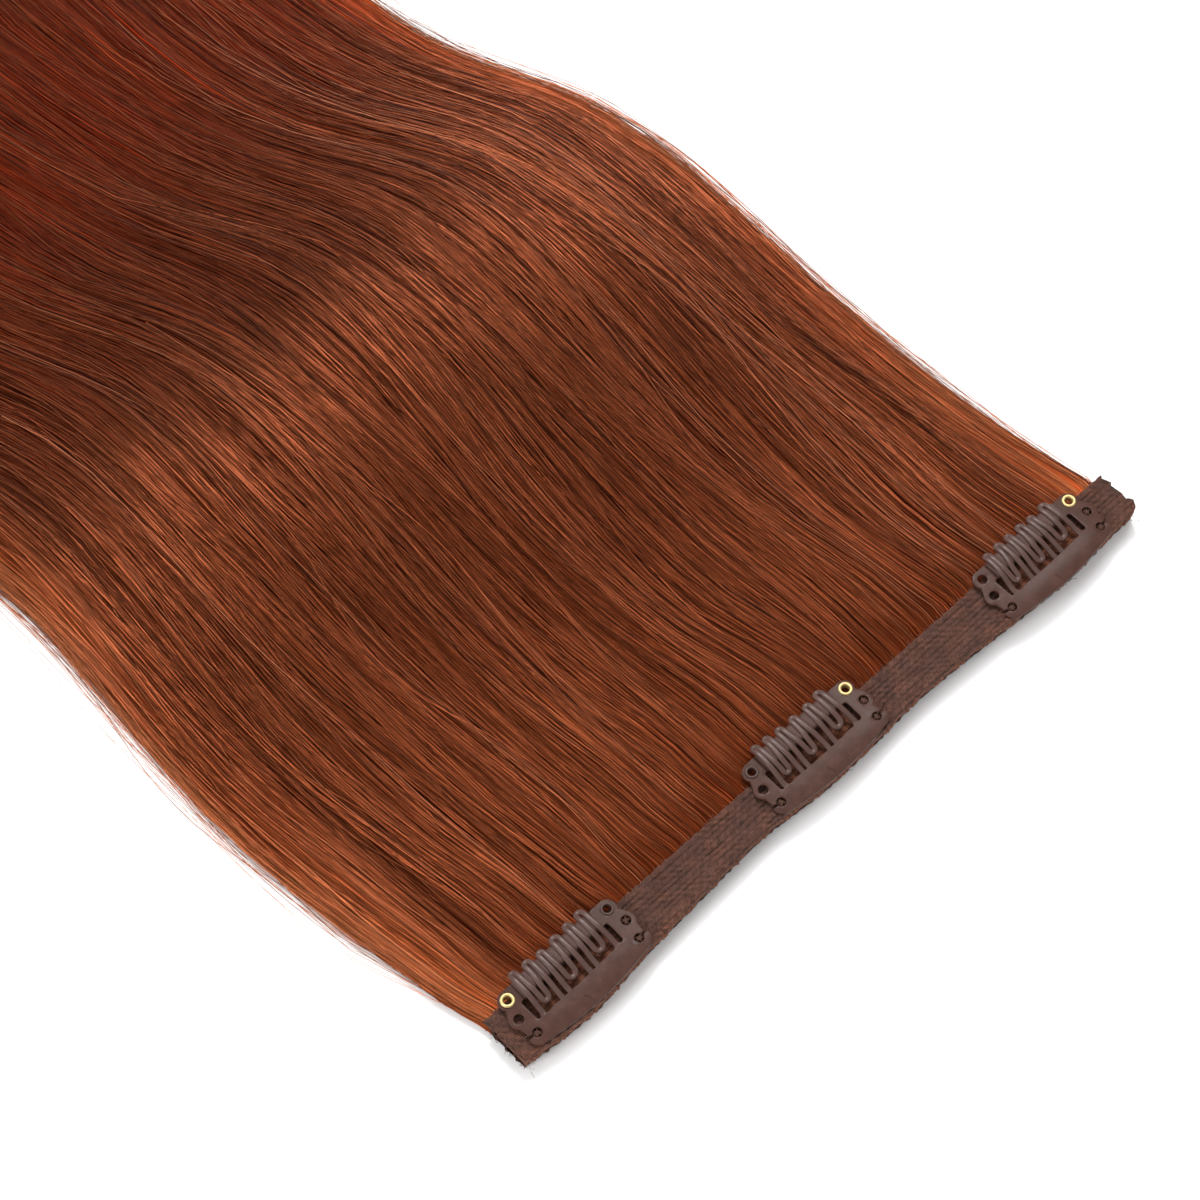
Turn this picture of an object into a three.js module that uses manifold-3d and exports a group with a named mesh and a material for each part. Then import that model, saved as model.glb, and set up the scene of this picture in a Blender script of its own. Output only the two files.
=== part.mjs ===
// A weft of hair on three snap clips: a wide flat bundle of hair whose roots
// are sewn between two lace strips, with three stamped snap clips on the band.
// Millimetres, +Z up. +X runs along the band, +Y runs from the band into the
// hair, Z = 0 is the plane the piece lies on. The origin is on the underside of
// the band, half way between the outer clips, on the line of their eyelets.

import * as THREE from 'three';
import { mergeVertices } from 'three/addons/utils/BufferGeometryUtils.js';
import Module from 'manifold-3d';

const wasm = await Module();
wasm.setup();

// ---------------------------------------------------------------- dimensions

// hair bundle, one row per cross-section: y along the hair, left and right
// edge, height of the middle, height of the side edges, underside
const HAIR_SECTIONS = [
  { y: -0.2, left: -83.5, right: 87.2, top: 3.8, edge: 3.0, under: 1.4 },
  { y: 2.6, left: -84.3, right: 87.4, top: 4.9, edge: 3.0, under: 1.4 },
  { y: 3.4, left: -84.6, right: 87.2, top: 5.1, edge: 3.0, under: 0.0 },
  { y: 7, left: -85.6, right: 86.4, top: 5.5, edge: 3.0, under: 0.0 },
  { y: 12, left: -86.8, right: 85.4, top: 5.7, edge: 3.0, under: 0.0 },
  { y: 20, left: -88.2, right: 84.4, top: 5.7, edge: 2.6, under: 0.0 },
  { y: 32, left: -90.3, right: 83.0, top: 5.6, edge: 2.2, under: 0.0 },
  { y: 45, left: -92.0, right: 82.3, top: 5.8, edge: 1.9, under: 0.0 },
  { y: 58, left: -93.7, right: 82.1, top: 6.4, edge: 1.8, under: 0.0 },
  { y: 71, left: -94.4, right: 82.2, top: 7.7, edge: 1.8, under: 0.0 },
  { y: 84, left: -94.1, right: 82.6, top: 9.3, edge: 1.8, under: 0.0 },
  { y: 97, left: -93.5, right: 83.3, top: 11.0, edge: 1.9, under: 0.0 },
  { y: 110, left: -92.8, right: 83.4, top: 12.3, edge: 2.0, under: 0.0 },
  { y: 122, left: -92.2, right: 83.4, top: 13.0, edge: 2.0, under: 0.0 },
  { y: 134, left: -92.4, right: 82.6, top: 13.3, edge: 1.9, under: 0.0 },
  { y: 146, left: -93.0, right: 80.6, top: 12.8, edge: 1.8, under: 0.0 },
  { y: 158, left: -95.0, right: 76.4, top: 11.8, edge: 1.7, under: 0.0 },
  { y: 170, left: -98.6, right: 71.0, top: 10.7, edge: 1.6, under: 0.0 },
  { y: 182, left: -102.8, right: 66.6, top: 9.8, edge: 1.6, under: 0.0 },
  { y: 196, left: -107.0, right: 64.0, top: 8.9, edge: 1.7, under: 0.0 },
  { y: 212, left: -110.0, right: 62.6, top: 8.3, edge: 1.8, under: 0.0 },
  { y: 230, left: -111.8, right: 61.0, top: 8.0, edge: 1.8, under: 0.0 },
  { y: 250, left: -112.4, right: 59.4, top: 7.8, edge: 1.7, under: 0.0 },
  { y: 270, left: -111.6, right: 58.8, top: 7.4, edge: 1.6, under: 0.0 },
  { y: 290, left: -109.4, right: 59.0, top: 6.8, edge: 1.5, under: 0.0 },
  { y: 310, left: -106.0, right: 59.2, top: 5.9, edge: 1.4, under: 0.0 },
  { y: 328, left: -102.6, right: 58.2, top: 4.8, edge: 1.4, under: 0.0 },
  { y: 342, left: -99.4, right: 55.6, top: 3.5, edge: 1.2, under: 0.0 },
  { y: 355, left: -96.0, right: 51.4, top: 2.0, edge: 1.0, under: 0.0 },
];
const HAIR_COLUMNS = 16;      // facets across the bundle
const HAIR_EDGE_POWER = 3.4;  // how squarely the bundle drops to its sides

// band, one row per station along it: free edge, how far that edge is lifted
const BAND_STATIONS = [
  { x: -84.0, free: -11.0, lift: 0.6 },
  { x: -76.0, free: -11.9, lift: 0.2 },
  { x: -66.0, free: -12.4, lift: 0.1 },
  { x: -52.0, free: -10.7, lift: 0.3 },
  { x: -38.0, free: -10.0, lift: 0.9 },
  { x: -26.0, free: -9.3, lift: 1.1 },
  { x: -18.0, free: -8.9, lift: 0.9 },
  { x: -2.0, free: -10.2, lift: 0.3 },
  { x: 12.0, free: -9.9, lift: 0.5 },
  { x: 25.0, free: -9.1, lift: 1.0 },
  { x: 38.0, free: -9.7, lift: 1.2 },
  { x: 55.0, free: -10.7, lift: 0.5 },
  { x: 68.0, free: -11.4, lift: 0.1 },
  { x: 78.0, free: -10.7, lift: 0.4 },
  { x: 88.5, free: -10.3, lift: 0.9 },
];
// the three layers of the band: lower and upper surface, how far the layer
// stays back from the free edge, and where it ends on the hair side
const BAND_LAYERS = {
  lace_lower: { z0: 0.0, z1: 1.1, inset: 0.0, end: 2.2 },
  weft_roots: { z0: 1.4, z1: 3.9, inset: 0.7, end: -0.6 },
  lace_upper: { z0: 4.2, z1: 5.3, inset: 0.2, end: 0.2 },
};
const BAND_FLAT_FROM = -4.0;  // the band only lifts on the free side of this

// snap clip, in its own frame: x along the clip, y towards the hair
const PLATE_TOP = 7.0;
const PLATE_T = 0.7;
const HOLE_R = 1.05;
const EYELET_X = 13.15;       // eyelet holes, at y = 0
const SIDE_HOLE = { x: 14.14, y: -4.12 };
const HOOK_HOLE = { x: 13.43, y: -8.43 };
const WINDOW = { x0: -11.6, x1: 11.0, y0: -8.2, y1: -2.0 };
const FRONT_BAR = { x: 10.7, y0: -1.1, y1: 0.9 };
const SLEEVE = { x0: -10.4, x1: 9.9, y: -0.1, halfY: 2.0, halfZ: 1.2, wall: 0.42 };

// comb: twelve legs at an even pitch, joined in turn at the tips and below
const LEG_PITCH = 1.7;
const LEG_SPREAD = 0.008;     // legs spread a little towards the root
const LEG_W = 0.86;
const LEG_T = 0.66;
const COMB_X = -0.4;
const TIP_Y = 2.95;           // outer edge of the tips, in the middle
const LOOP_Y = -5.3;          // outer edge of the lower loops, in the middle
const ROOT = { y: -7.45, w: 1.0, x0: -10.95, x1: 9.75 };
const COMB_HEIGHT = [         // height of the legs' centre line
  { y: -8.0, z: 6.65 }, { y: -6.6, z: 6.72 }, { y: -5.2, z: 7.05 },
  { y: -3.8, z: 7.65 }, { y: -2.5, z: 8.16 }, { y: -1.4, z: 8.3 },
  { y: 1.0, z: 8.3 }, { y: 2.0, z: 8.12 }, { y: 2.8, z: 7.72 }, { y: 3.8, z: 7.0 },
];

// where each clip sits on the band, and at which end its brass eyelet is
const CLIPS = [
  { name: 'clip_1', x: -65.42, y: 0.0, yaw: 1.09, brass: -1, brown: 1 },
  { name: 'clip_2', x: 1.15, y: 1.63, yaw: 0.22, brass: 1, brown: -1 },
  { name: 'clip_3', x: 65.42, y: 0.0, yaw: 0.66, brass: 1, brown: 0 },
];

// ------------------------------------------------------------------- helpers

const smooth = (t) => t * t * (3 - 2 * t);

// value of a column at a place between two rows of a table
function lookup(table, key, at, column) {
  if (at <= table[0][key]) return table[0][column];
  for (let i = 1; i < table.length; i++) {
    if (at <= table[i][key]) {
      const a = table[i - 1], b = table[i];
      return a[column] + (b[column] - a[column]) * (at - a[key]) / (b[key] - a[key]);
    }
  }
  return table[table.length - 1][column];
}

// a box whose vertices are moved by place(u, v, w), each from 0 to 1
function shapedBox(nu, nv, nw, place) {
  const g = new THREE.BoxGeometry(1, 1, 1, nu, nv, nw);
  const p = g.attributes.position;
  for (let i = 0; i < p.count; i++) {
    const q = place(p.getX(i) + 0.5, p.getY(i) + 0.5, p.getZ(i) + 0.5);
    p.setXYZ(i, q[0], q[1], q[2]);
  }
  return closed(g);
}

// only positions, with shared vertices merged, as one closed surface
function closed(g) {
  g.deleteAttribute('normal');
  g.deleteAttribute('uv');
  return mergeVertices(g, 1e-4);
}

function toSolid(g) {
  return new wasm.Manifold(new wasm.Mesh({
    numProp: 3,
    vertProperties: new Float32Array(g.attributes.position.array),
    triVerts: new Uint32Array(g.index.array),
  }));
}

function fromSolid(s) {
  const m = s.getMesh();
  const pos = new Float32Array(m.numVert * 3);
  for (let i = 0; i < m.numVert; i++) {
    for (let k = 0; k < 3; k++) pos[3 * i + k] = m.vertProperties[m.numProp * i + k];
  }
  const g = new THREE.BufferGeometry();
  g.setAttribute('position', new THREE.BufferAttribute(pos, 3));
  g.setIndex(Array.from(m.triVerts));
  return g;
}

const metal = (color, roughness, metalness) =>
  new THREE.MeshStandardMaterial({ color, roughness, metalness, flatShading: true });

const HAIR = metal(0x74382a, 0.55, 0.0);
const LACE = metal(0x5f4136, 0.9, 0.0);
const ROOTS = metal(0x6a3a28, 0.85, 0.0);
const ENAMEL = metal(0x6b4f49, 0.38, 0.3);
const RUBBER = metal(0x5a4038, 0.6, 0.0);
const BRASS = metal(0xe2cb94, 0.28, 1.0);
const DARK_METAL = metal(0x4c362f, 0.4, 0.6);

const part = new THREE.Group();

function add(parent, name, geometry, material) {
  const mesh = new THREE.Mesh(geometry, material.clone());
  geometry.computeVertexNormals();
  mesh.name = name;
  parent.add(mesh);
  return mesh;
}

// ---------------------------------------------------------------- hair bundle

function hairPanel() {
  const rows = HAIR_SECTIONS;
  return shapedBox(HAIR_COLUMNS, rows.length - 1, 1, (u, v, w) => {
    const s = rows[Math.round(v * (rows.length - 1))];
    // columns crowd towards the side edges, where the bundle turns down
    const c = Math.sin((u - 0.5) * Math.PI) * 0.35 + (2 * u - 1) * 0.65;
    const x = (s.left + s.right) / 2 + c * (s.right - s.left) / 2;
    const crown = 1 - Math.pow(Math.abs(c), HAIR_EDGE_POWER);
    const top = s.edge + (s.top - s.edge) * crown;
    return [x, s.y, w > 0.5 ? top : s.under];
  });
}

// ----------------------------------------------------------------------- band

function bandLayer(layer) {
  const n = 34, x0 = BAND_STATIONS[0].x, x1 = BAND_STATIONS[BAND_STATIONS.length - 1].x;
  return shapedBox(n, 3, 1, (u, v, w) => {
    const x = x0 + (x1 - x0) * u;
    const free = lookup(BAND_STATIONS, 'x', x, 'free') + layer.inset;
    const stops = [free, (free + BAND_FLAT_FROM) / 2, BAND_FLAT_FROM, layer.end];
    const y = stops[Math.round(v * 3)];
    const t = Math.max(0, (BAND_FLAT_FROM - y) / (BAND_FLAT_FROM - free));
    const lift = lookup(BAND_STATIONS, 'x', x, 'lift') * smooth(Math.min(1, t));
    return [x, y, (w > 0.5 ? layer.z1 : layer.z0) + lift];
  });
}

// ----------------------------------------------------------------- clip plate

function platePart() {
  const s = new THREE.Shape();
  const F = HOOK_HOLE, D = SIDE_HOLE, deg = Math.PI / 180;
  // one end, as points from the back bar's corner round the lobes to the top
  const end = new THREE.Path();
  end.moveTo(13.9, -10.75);
  end.absarc(F.x + 0.3, F.y - 0.3, 2.0, -75 * deg, -6 * deg, false);
  end.lineTo(F.x + 2.15, F.y + 0.05);                       // tip of the hook
  end.absarc(F.x, F.y, HOLE_R - 0.1, -8 * deg, 17 * deg, true);
  end.lineTo(F.x + 2.3, F.y + 0.55);                        // mouth of the slit
  end.absarc(D.x, D.y, 2.1, -48 * deg, 46 * deg, false);
  end.absarc(EYELET_X, 0, 2.0, -38 * deg, 90 * deg, false);
  end.lineTo(FRONT_BAR.x + 0.4, 1.9);
  end.lineTo(FRONT_BAR.x, FRONT_BAR.y1);
  const right = end.getPoints(7);
  // back bar: a shallow curve from one corner to the other
  s.moveTo(-13.9, -10.75);
  s.quadraticCurveTo(0, -13.4, 13.9, -10.75);
  for (const p of right) s.lineTo(p.x, p.y);
  for (const p of right.slice().reverse()) s.lineTo(-p.x, p.y);
  s.closePath();

  for (const sign of [-1, 1]) {
    for (const [x, y] of [[EYELET_X, 0], [D.x, D.y]]) {
      const h = new THREE.Path();
      h.absarc(sign * x, y, HOLE_R, 0, 2 * Math.PI, true);
      s.holes.push(h);
    }
  }
  const w = WINDOW, f = FRONT_BAR, win = new THREE.Path();
  win.moveTo(w.x0, w.y0);
  win.lineTo(w.x0, w.y1);
  win.lineTo(-f.x, w.y1 + 0.1);
  win.lineTo(-f.x, f.y0);
  win.lineTo(10.2, f.y0);
  win.lineTo(10.2, w.y1 + 0.1);
  win.lineTo(w.x1, w.y1);
  win.lineTo(w.x1, w.y0);
  win.closePath();
  s.holes.push(win);

  const g = new THREE.ExtrudeGeometry(s, { depth: PLATE_T, bevelEnabled: false, curveSegments: 7 });
  g.translate(0, 0, PLATE_TOP - PLATE_T);
  return closed(g);
}

// ----------------------------------------------------------------------- comb

const legX = (i, y) => COMB_X + 0.03 * y + (i - 5.5) * LEG_PITCH * (1 - LEG_SPREAD * y);
const bowed = (x, amount) => amount * Math.pow(x / 9, 2);

// centre line of one four-legged unit: up, over a tip, down, round a lower
// loop, up, over the next tip and down to the root again
function unitLine(first) {
  const r = LEG_PITCH / 2, pts = [];
  const height = (y) => lookup(COMB_HEIGHT, 'y', y, 'z');
  const push = (x, y) => pts.push(new THREE.Vector3(x, y, height(y)));
  const straight = (i, ya, yb, n) => {
    for (let k = 0; k <= n; k++) {
      const y = ya + (yb - ya) * k / n;
      push(legX(i, y), y);
    }
  };
  const turn = (i, y, up) => {
    const xa = legX(i, y), xb = legX(i + 1, y);
    for (const a of [36, 72, 108, 144]) {
      const c = Math.cos(a * Math.PI / 180), q = Math.sin(a * Math.PI / 180);
      push((xa + xb) / 2 - (xb - xa) / 2 * c, y + (up ? 1 : -1) * r * q);
    }
  };
  const tip = (i) => TIP_Y - LEG_W / 2 - r + bowed((legX(i, 0) + legX(i + 1, 0)) / 2, 0.6);
  const low = LOOP_Y + LEG_W / 2 + r + bowed((legX(first + 1, 0) + legX(first + 2, 0)) / 2, 0.35);
  straight(first, ROOT.y, tip(first), 6);
  turn(first, tip(first), true);
  straight(first + 1, tip(first), low, 4);
  turn(first + 1, low, false);
  straight(first + 2, low, tip(first + 2), 4);
  turn(first + 2, tip(first + 2), true);
  straight(first + 3, tip(first + 2), ROOT.y, 6);
  return pts;
}

// a flat strip of rectangular section along a centre line
function strip(line, width, thickness) {
  const n = line.length - 1;
  return shapedBox(n, 1, 1, (u, v, w) => {
    const i = Math.round(u * n);
    const a = line[Math.max(0, i - 1)], b = line[Math.min(n, i + 1)];
    const dx = b.x - a.x, dy = b.y - a.y, l = Math.hypot(dx, dy);
    const off = (v - 0.5) * width;
    return [line[i].x - dy / l * off, line[i].y + dx / l * off,
      line[i].z + (w - 0.5) * thickness];
  });
}

function combPart() {
  const spine = shapedBox(1, 1, 1, (u, v, w) => [
    ROOT.x0 + (ROOT.x1 - ROOT.x0) * u,
    ROOT.y + (v - 0.5) * ROOT.w,
    PLATE_TOP - PLATE_T + PLATE_T * w,
  ]);
  let solid = toSolid(spine);
  for (const first of [0, 4, 8]) {
    solid = solid.add(toSolid(strip(unitLine(first), LEG_W, LEG_T)));
  }
  return fromSolid(solid);
}

// --------------------------------------------------------- sleeve and eyelets

function sleevePart() {
  const s = SLEEVE, oval = (y, z, clockwise) => {
    const path = clockwise ? new THREE.Path() : new THREE.Shape();
    path.absellipse(0, 0, y, z, 0, 2 * Math.PI, clockwise, 0);
    return path;
  };
  const ring = oval(s.halfY, s.halfZ, false);
  ring.holes.push(oval(s.halfY - s.wall, s.halfZ - s.wall, true));
  const g = new THREE.ExtrudeGeometry(ring, {
    depth: s.x1 - s.x0, bevelEnabled: false, curveSegments: 10,
  });
  g.rotateX(Math.PI / 2);
  g.rotateZ(Math.PI / 2);
  g.translate(s.x0, s.y, PLATE_TOP - PLATE_T / 2);
  return closed(g);
}

function eyeletPart(flange, height) {
  const z = PLATE_TOP, inner = 0.82, barrel = 0.95;
  const profile = [
    [inner, z - PLATE_T - 0.25], [barrel, z - PLATE_T - 0.25], [barrel, z + 0.08],
    [flange, z + 0.08], [flange, z + 0.08 + height * 0.4],
    [(flange + inner) / 2 + 0.12, z + 0.08 + height], [inner, z + 0.08 + height * 0.5],
  ].map(([r, y]) => new THREE.Vector2(r, y));
  profile.push(profile[0].clone());
  const g = new THREE.LatheGeometry(profile, 16);
  g.rotateX(Math.PI / 2);
  return closed(g);
}

// ------------------------------------------------------------------- assembly

add(part, 'hair_panel', hairPanel(), HAIR);
add(part, 'lace_lower', bandLayer(BAND_LAYERS.lace_lower), LACE);
add(part, 'weft_roots', bandLayer(BAND_LAYERS.weft_roots), ROOTS);
add(part, 'lace_upper', bandLayer(BAND_LAYERS.lace_upper), LACE);

for (const c of CLIPS) {
  const clip = new THREE.Group();
  clip.position.set(c.x, c.y, 0);
  clip.rotation.z = c.yaw * Math.PI / 180;
  part.add(clip);
  add(clip, `${c.name}_frame`, platePart(), ENAMEL);
  add(clip, `${c.name}_comb`, combPart(), ENAMEL);
  add(clip, `${c.name}_sleeve`, sleevePart(), RUBBER);
  add(clip, `${c.name}_brass_eyelet`, eyeletPart(1.5, 0.36), BRASS)
    .position.set(c.brass * EYELET_X, 0, 0);
  if (c.brown) {
    add(clip, `${c.name}_brown_eyelet`, eyeletPart(1.4, 0.24), DARK_METAL)
      .position.set(c.brown * EYELET_X, 0, 0);
  }
}

export default part;
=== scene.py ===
"""Looks for the clip-in hair weft: strands, lace band, snap clips and threads."""
import math

import bpy
import bmesh
import numpy as np
from mathutils import Matrix, Vector


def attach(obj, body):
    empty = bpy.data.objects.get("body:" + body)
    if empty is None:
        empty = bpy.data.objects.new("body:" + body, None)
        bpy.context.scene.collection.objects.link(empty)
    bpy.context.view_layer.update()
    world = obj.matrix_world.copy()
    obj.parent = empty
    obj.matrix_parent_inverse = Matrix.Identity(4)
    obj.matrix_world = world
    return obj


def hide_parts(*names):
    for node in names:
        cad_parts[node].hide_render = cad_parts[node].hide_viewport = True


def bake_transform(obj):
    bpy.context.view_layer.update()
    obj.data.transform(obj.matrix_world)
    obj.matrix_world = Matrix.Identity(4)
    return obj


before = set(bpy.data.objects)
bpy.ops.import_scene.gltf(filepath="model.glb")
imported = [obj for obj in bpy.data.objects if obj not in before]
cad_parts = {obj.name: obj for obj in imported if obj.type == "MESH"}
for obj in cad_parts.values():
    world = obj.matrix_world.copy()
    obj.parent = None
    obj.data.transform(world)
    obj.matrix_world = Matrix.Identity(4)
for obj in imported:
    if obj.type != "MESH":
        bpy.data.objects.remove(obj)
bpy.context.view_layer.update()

MM = 0.001
scene = bpy.context.scene


# --------------------------------------------------------------- camera, light
def add_camera():
    data = bpy.data.cameras.new("camera")
    data.lens = 85.0
    data.sensor_width = 36.0
    data.sensor_fit = "AUTO"
    data.clip_start = 0.01
    cam = bpy.data.objects.new("camera", data)
    scene.collection.objects.link(cam)
    eye = Vector((-192.535, -145.922, 511.652)) * MM
    aim = Vector((-7.42, 49.63, 7.0)) * MM
    cam.location = eye
    cam.rotation_euler = (aim - eye).to_track_quat("-Z", "Y").to_euler()
    scene.camera = cam
    return cam


def add_area(name, at, aim, size, power, color=(1, 1, 1)):
    data = bpy.data.lights.new(name, "AREA")
    data.shape = "RECTANGLE"
    data.size, data.size_y = size
    data.energy = power
    data.color = color
    lamp = bpy.data.objects.new(name, data)
    scene.collection.objects.link(lamp)
    lamp.location = Vector(at)
    lamp.rotation_euler = (Vector(aim) - Vector(at)).to_track_quat("-Z", "Y").to_euler()
    return lamp


add_camera()
world = bpy.data.worlds.new("studio")
scene.world = world
world.use_nodes = True
bg = world.node_tree.nodes["Background"]
bg.inputs["Color"].default_value = (1.0, 1.0, 1.0, 1.0)
bg.inputs["Strength"].default_value = 0.74
scene.view_settings.view_transform = "Standard"
scene.view_settings.look = "None"

add_area("key", (0.49, 0.86, 1.60), (0.0, 0.07, 0.0), (0.42, 0.42), 21.5)
add_area("soft", (0.30, 0.75, 1.75), (0.0, 0.07, 0.0), (1.7, 1.7), 8.5)
add_area("left", (-0.95, 0.10, 0.60), (0.0, 0.07, 0.0), (0.32, 0.32), 5.5)
add_area("side", (0.72, 0.36, 1.28), (0.0, 0.0, 0.0), (0.22, 0.22), 3.0)


# -------------------------------------------------------------- mesh utilities
def new_mesh(name, co, quads=None, polys=(), smooth=True):
    """An object from points in millimetres, an array of quads and a list of other faces."""
    me = bpy.data.meshes.new(name)
    co = np.asarray(co, np.float64).reshape(-1, 3) * MM
    parts, starts, at = [], [], 0
    if quads is not None and len(quads):
        q = np.asarray(quads, np.int32)
        parts.append(q.reshape(-1))
        starts.append(np.arange(len(q), dtype=np.int32) * q.shape[1])
        at = q.size
    for p in polys:
        parts.append(np.asarray(p, np.int32))
        starts.append(np.array([at], np.int32))
        at += len(p)
    loops, starts = np.concatenate(parts), np.concatenate(starts)
    me.vertices.add(len(co))
    me.vertices.foreach_set("co", co.astype(np.float32).ravel())
    me.loops.add(len(loops))
    me.loops.foreach_set("vertex_index", loops)
    me.polygons.add(len(starts))
    me.polygons.foreach_set("loop_start", starts)
    me.polygons.foreach_set("use_smooth", np.full(len(starts), smooth))
    me.update(calc_edges=True)
    obj = bpy.data.objects.new(name, me)
    scene.collection.objects.link(obj)
    return obj


def grid_quads(nu, nv, off=0):
    """Faces of a grid whose vertex (i, j) is off + i * nv + j, facing up if i runs along X and j along Y."""
    i = np.arange(nu - 1)[:, None]
    j = np.arange(nv - 1)[None, :]
    a = off + i * nv + j
    return np.stack([a, a + nv, a + nv + 1, a + 1], -1).reshape(-1, 4)


def set_color(obj, name, rgb):
    rgb = np.asarray(rgb, np.float32).reshape(-1, 3)
    rgba = np.concatenate([rgb, np.ones((len(rgb), 1), np.float32)], 1)
    at = obj.data.attributes.new(name, "FLOAT_COLOR", "POINT")
    at.data.foreach_set("color", rgba.ravel())


def set_vector(obj, name, vec):
    at = obj.data.attributes.new(name, "FLOAT_VECTOR", "POINT")
    at.data.foreach_set("vector", np.asarray(vec, np.float32).ravel())


def unit(v):
    return v / np.maximum(np.linalg.norm(v, axis=-1, keepdims=True), 1e-9)


def closed_slab(name, top, bottom_z):
    """A closed sheet from a grid of top points (nu, nv, 3) and the height of its underside."""
    nu, nv = top.shape[:2]
    under = top[:, [0, nv - 1]].copy()
    under[..., 2] = bottom_z[:, [0, nv - 1]]
    co = np.concatenate([top.reshape(-1, 3), under.reshape(-1, 3)])
    n = nu * nv
    i = np.arange(nu - 1)
    lo0, lo1 = n + 2 * i, n + 2 * i + 1
    quads = [
        grid_quads(nu, nv),
        np.stack([lo0, lo1, lo1 + 2, lo0 + 2], -1),                      # underside
        np.stack([i * nv, lo0, lo0 + 2, (i + 1) * nv], -1),              # side at v = 0
        np.stack([(i + 1) * nv + nv - 1, lo1 + 2, lo1, i * nv + nv - 1], -1),
    ]
    j = np.arange(nv)
    first = list(j) + [n + 1, n]
    last = [n + 2 * (nu - 1), n + 2 * (nu - 1) + 1] + list((nu - 1) * nv + j[::-1])
    return new_mesh(name, co, np.concatenate(quads), [first, last])


def tube(points, a, b, sides=8, up=(0, 0, 1), caps=True, off=0, square=1.0):
    """Points and faces of a tube, a wide and b high (half sizes, numbers or arrays); square below 1 fills the corners."""
    p = np.asarray(points, float)
    n = len(p)
    t = unit(np.gradient(p, axis=0))
    side = unit(np.cross(t, np.asarray(up, float)))
    nrm = np.cross(side, t)
    ang = np.arange(sides) * 2 * np.pi / sides
    a = np.broadcast_to(np.asarray(a, float), n)[:, None, None]
    b = np.broadcast_to(np.asarray(b, float), n)[:, None, None]
    ca = np.sign(np.cos(ang)) * np.abs(np.cos(ang)) ** square
    sa = np.sign(np.sin(ang)) * np.abs(np.sin(ang)) ** square
    ring = p[:, None] + side[:, None] * a * ca[None, :, None] + nrm[:, None] * b * sa[None, :, None]
    co = ring.reshape(-1, 3)
    i = np.arange(n - 1)[:, None]
    j = np.arange(sides)[None, :]
    k = (j + 1) % sides
    q = np.stack([i * sides + j + off, i * sides + k + off,
                  (i + 1) * sides + k + off, (i + 1) * sides + j + off], -1).reshape(-1, 4)
    polys = []
    if caps:
        polys = [[off + s for s in range(sides)][::-1],
                 [off + (n - 1) * sides + s for s in range(sides)]]
    return co, q, polys


def joined_tubes(name, lines):
    """One object of several tubes, each a dict for tube()."""
    cos, quads, polys, off = [], [], [], 0
    for kw in lines:
        co, q, p = tube(off=off, **kw)
        cos.append(co)
        quads.append(q)
        polys += p
        off += len(co)
    return new_mesh(name, np.concatenate(cos), np.concatenate(quads), polys)


def waves(seed, count, across, along):
    """A smooth field over (x, y) in millimetres, about -1 to 1, from waves of the given lengths."""
    r = np.random.default_rng(seed)
    kx = 2 * np.pi / r.uniform(*across, count) * r.choice([-1, 1], count)
    ky = 2 * np.pi / r.uniform(*along, count)
    ph = r.uniform(0, 2 * np.pi, count)

    def value(x, y):
        out = np.zeros(np.broadcast(x, y).shape)
        for i in range(count):
            out += np.sin(kx[i] * x + ky[i] * y + ph[i])
        return out / math.sqrt(count)
    return value


# ------------------------------------------------------------------- materials
def material(name):
    m = bpy.data.materials.new(name)
    m.use_nodes = True
    nt = m.node_tree
    bsdf = nt.nodes["Principled BSDF"]
    return m, nt, bsdf


def node(nt, kind, **values):
    n = nt.nodes.new(kind)
    for key, v in values.items():
        if key in n.inputs:
            n.inputs[key].default_value = v
        else:
            setattr(n, key, v)
    return n


def ramp(nt, stops):
    n = nt.nodes.new("ShaderNodeValToRGB")
    e = n.color_ramp.elements
    while len(e) < len(stops):
        e.new(0.5)
    for k, (pos, col) in enumerate(stops):
        e[k].position = pos
        e[k].color = (*col, 1.0) if len(col) == 3 else col
    return n


def rgb(r, g, b):
    """Linear colour from sRGB values of 0 to 255."""
    out = []
    for v in (r, g, b):
        c = v / 255
        out.append(c / 12.92 if c <= 0.04045 else ((c + 0.055) / 1.055) ** 2.4)
    return tuple(out)


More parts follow.
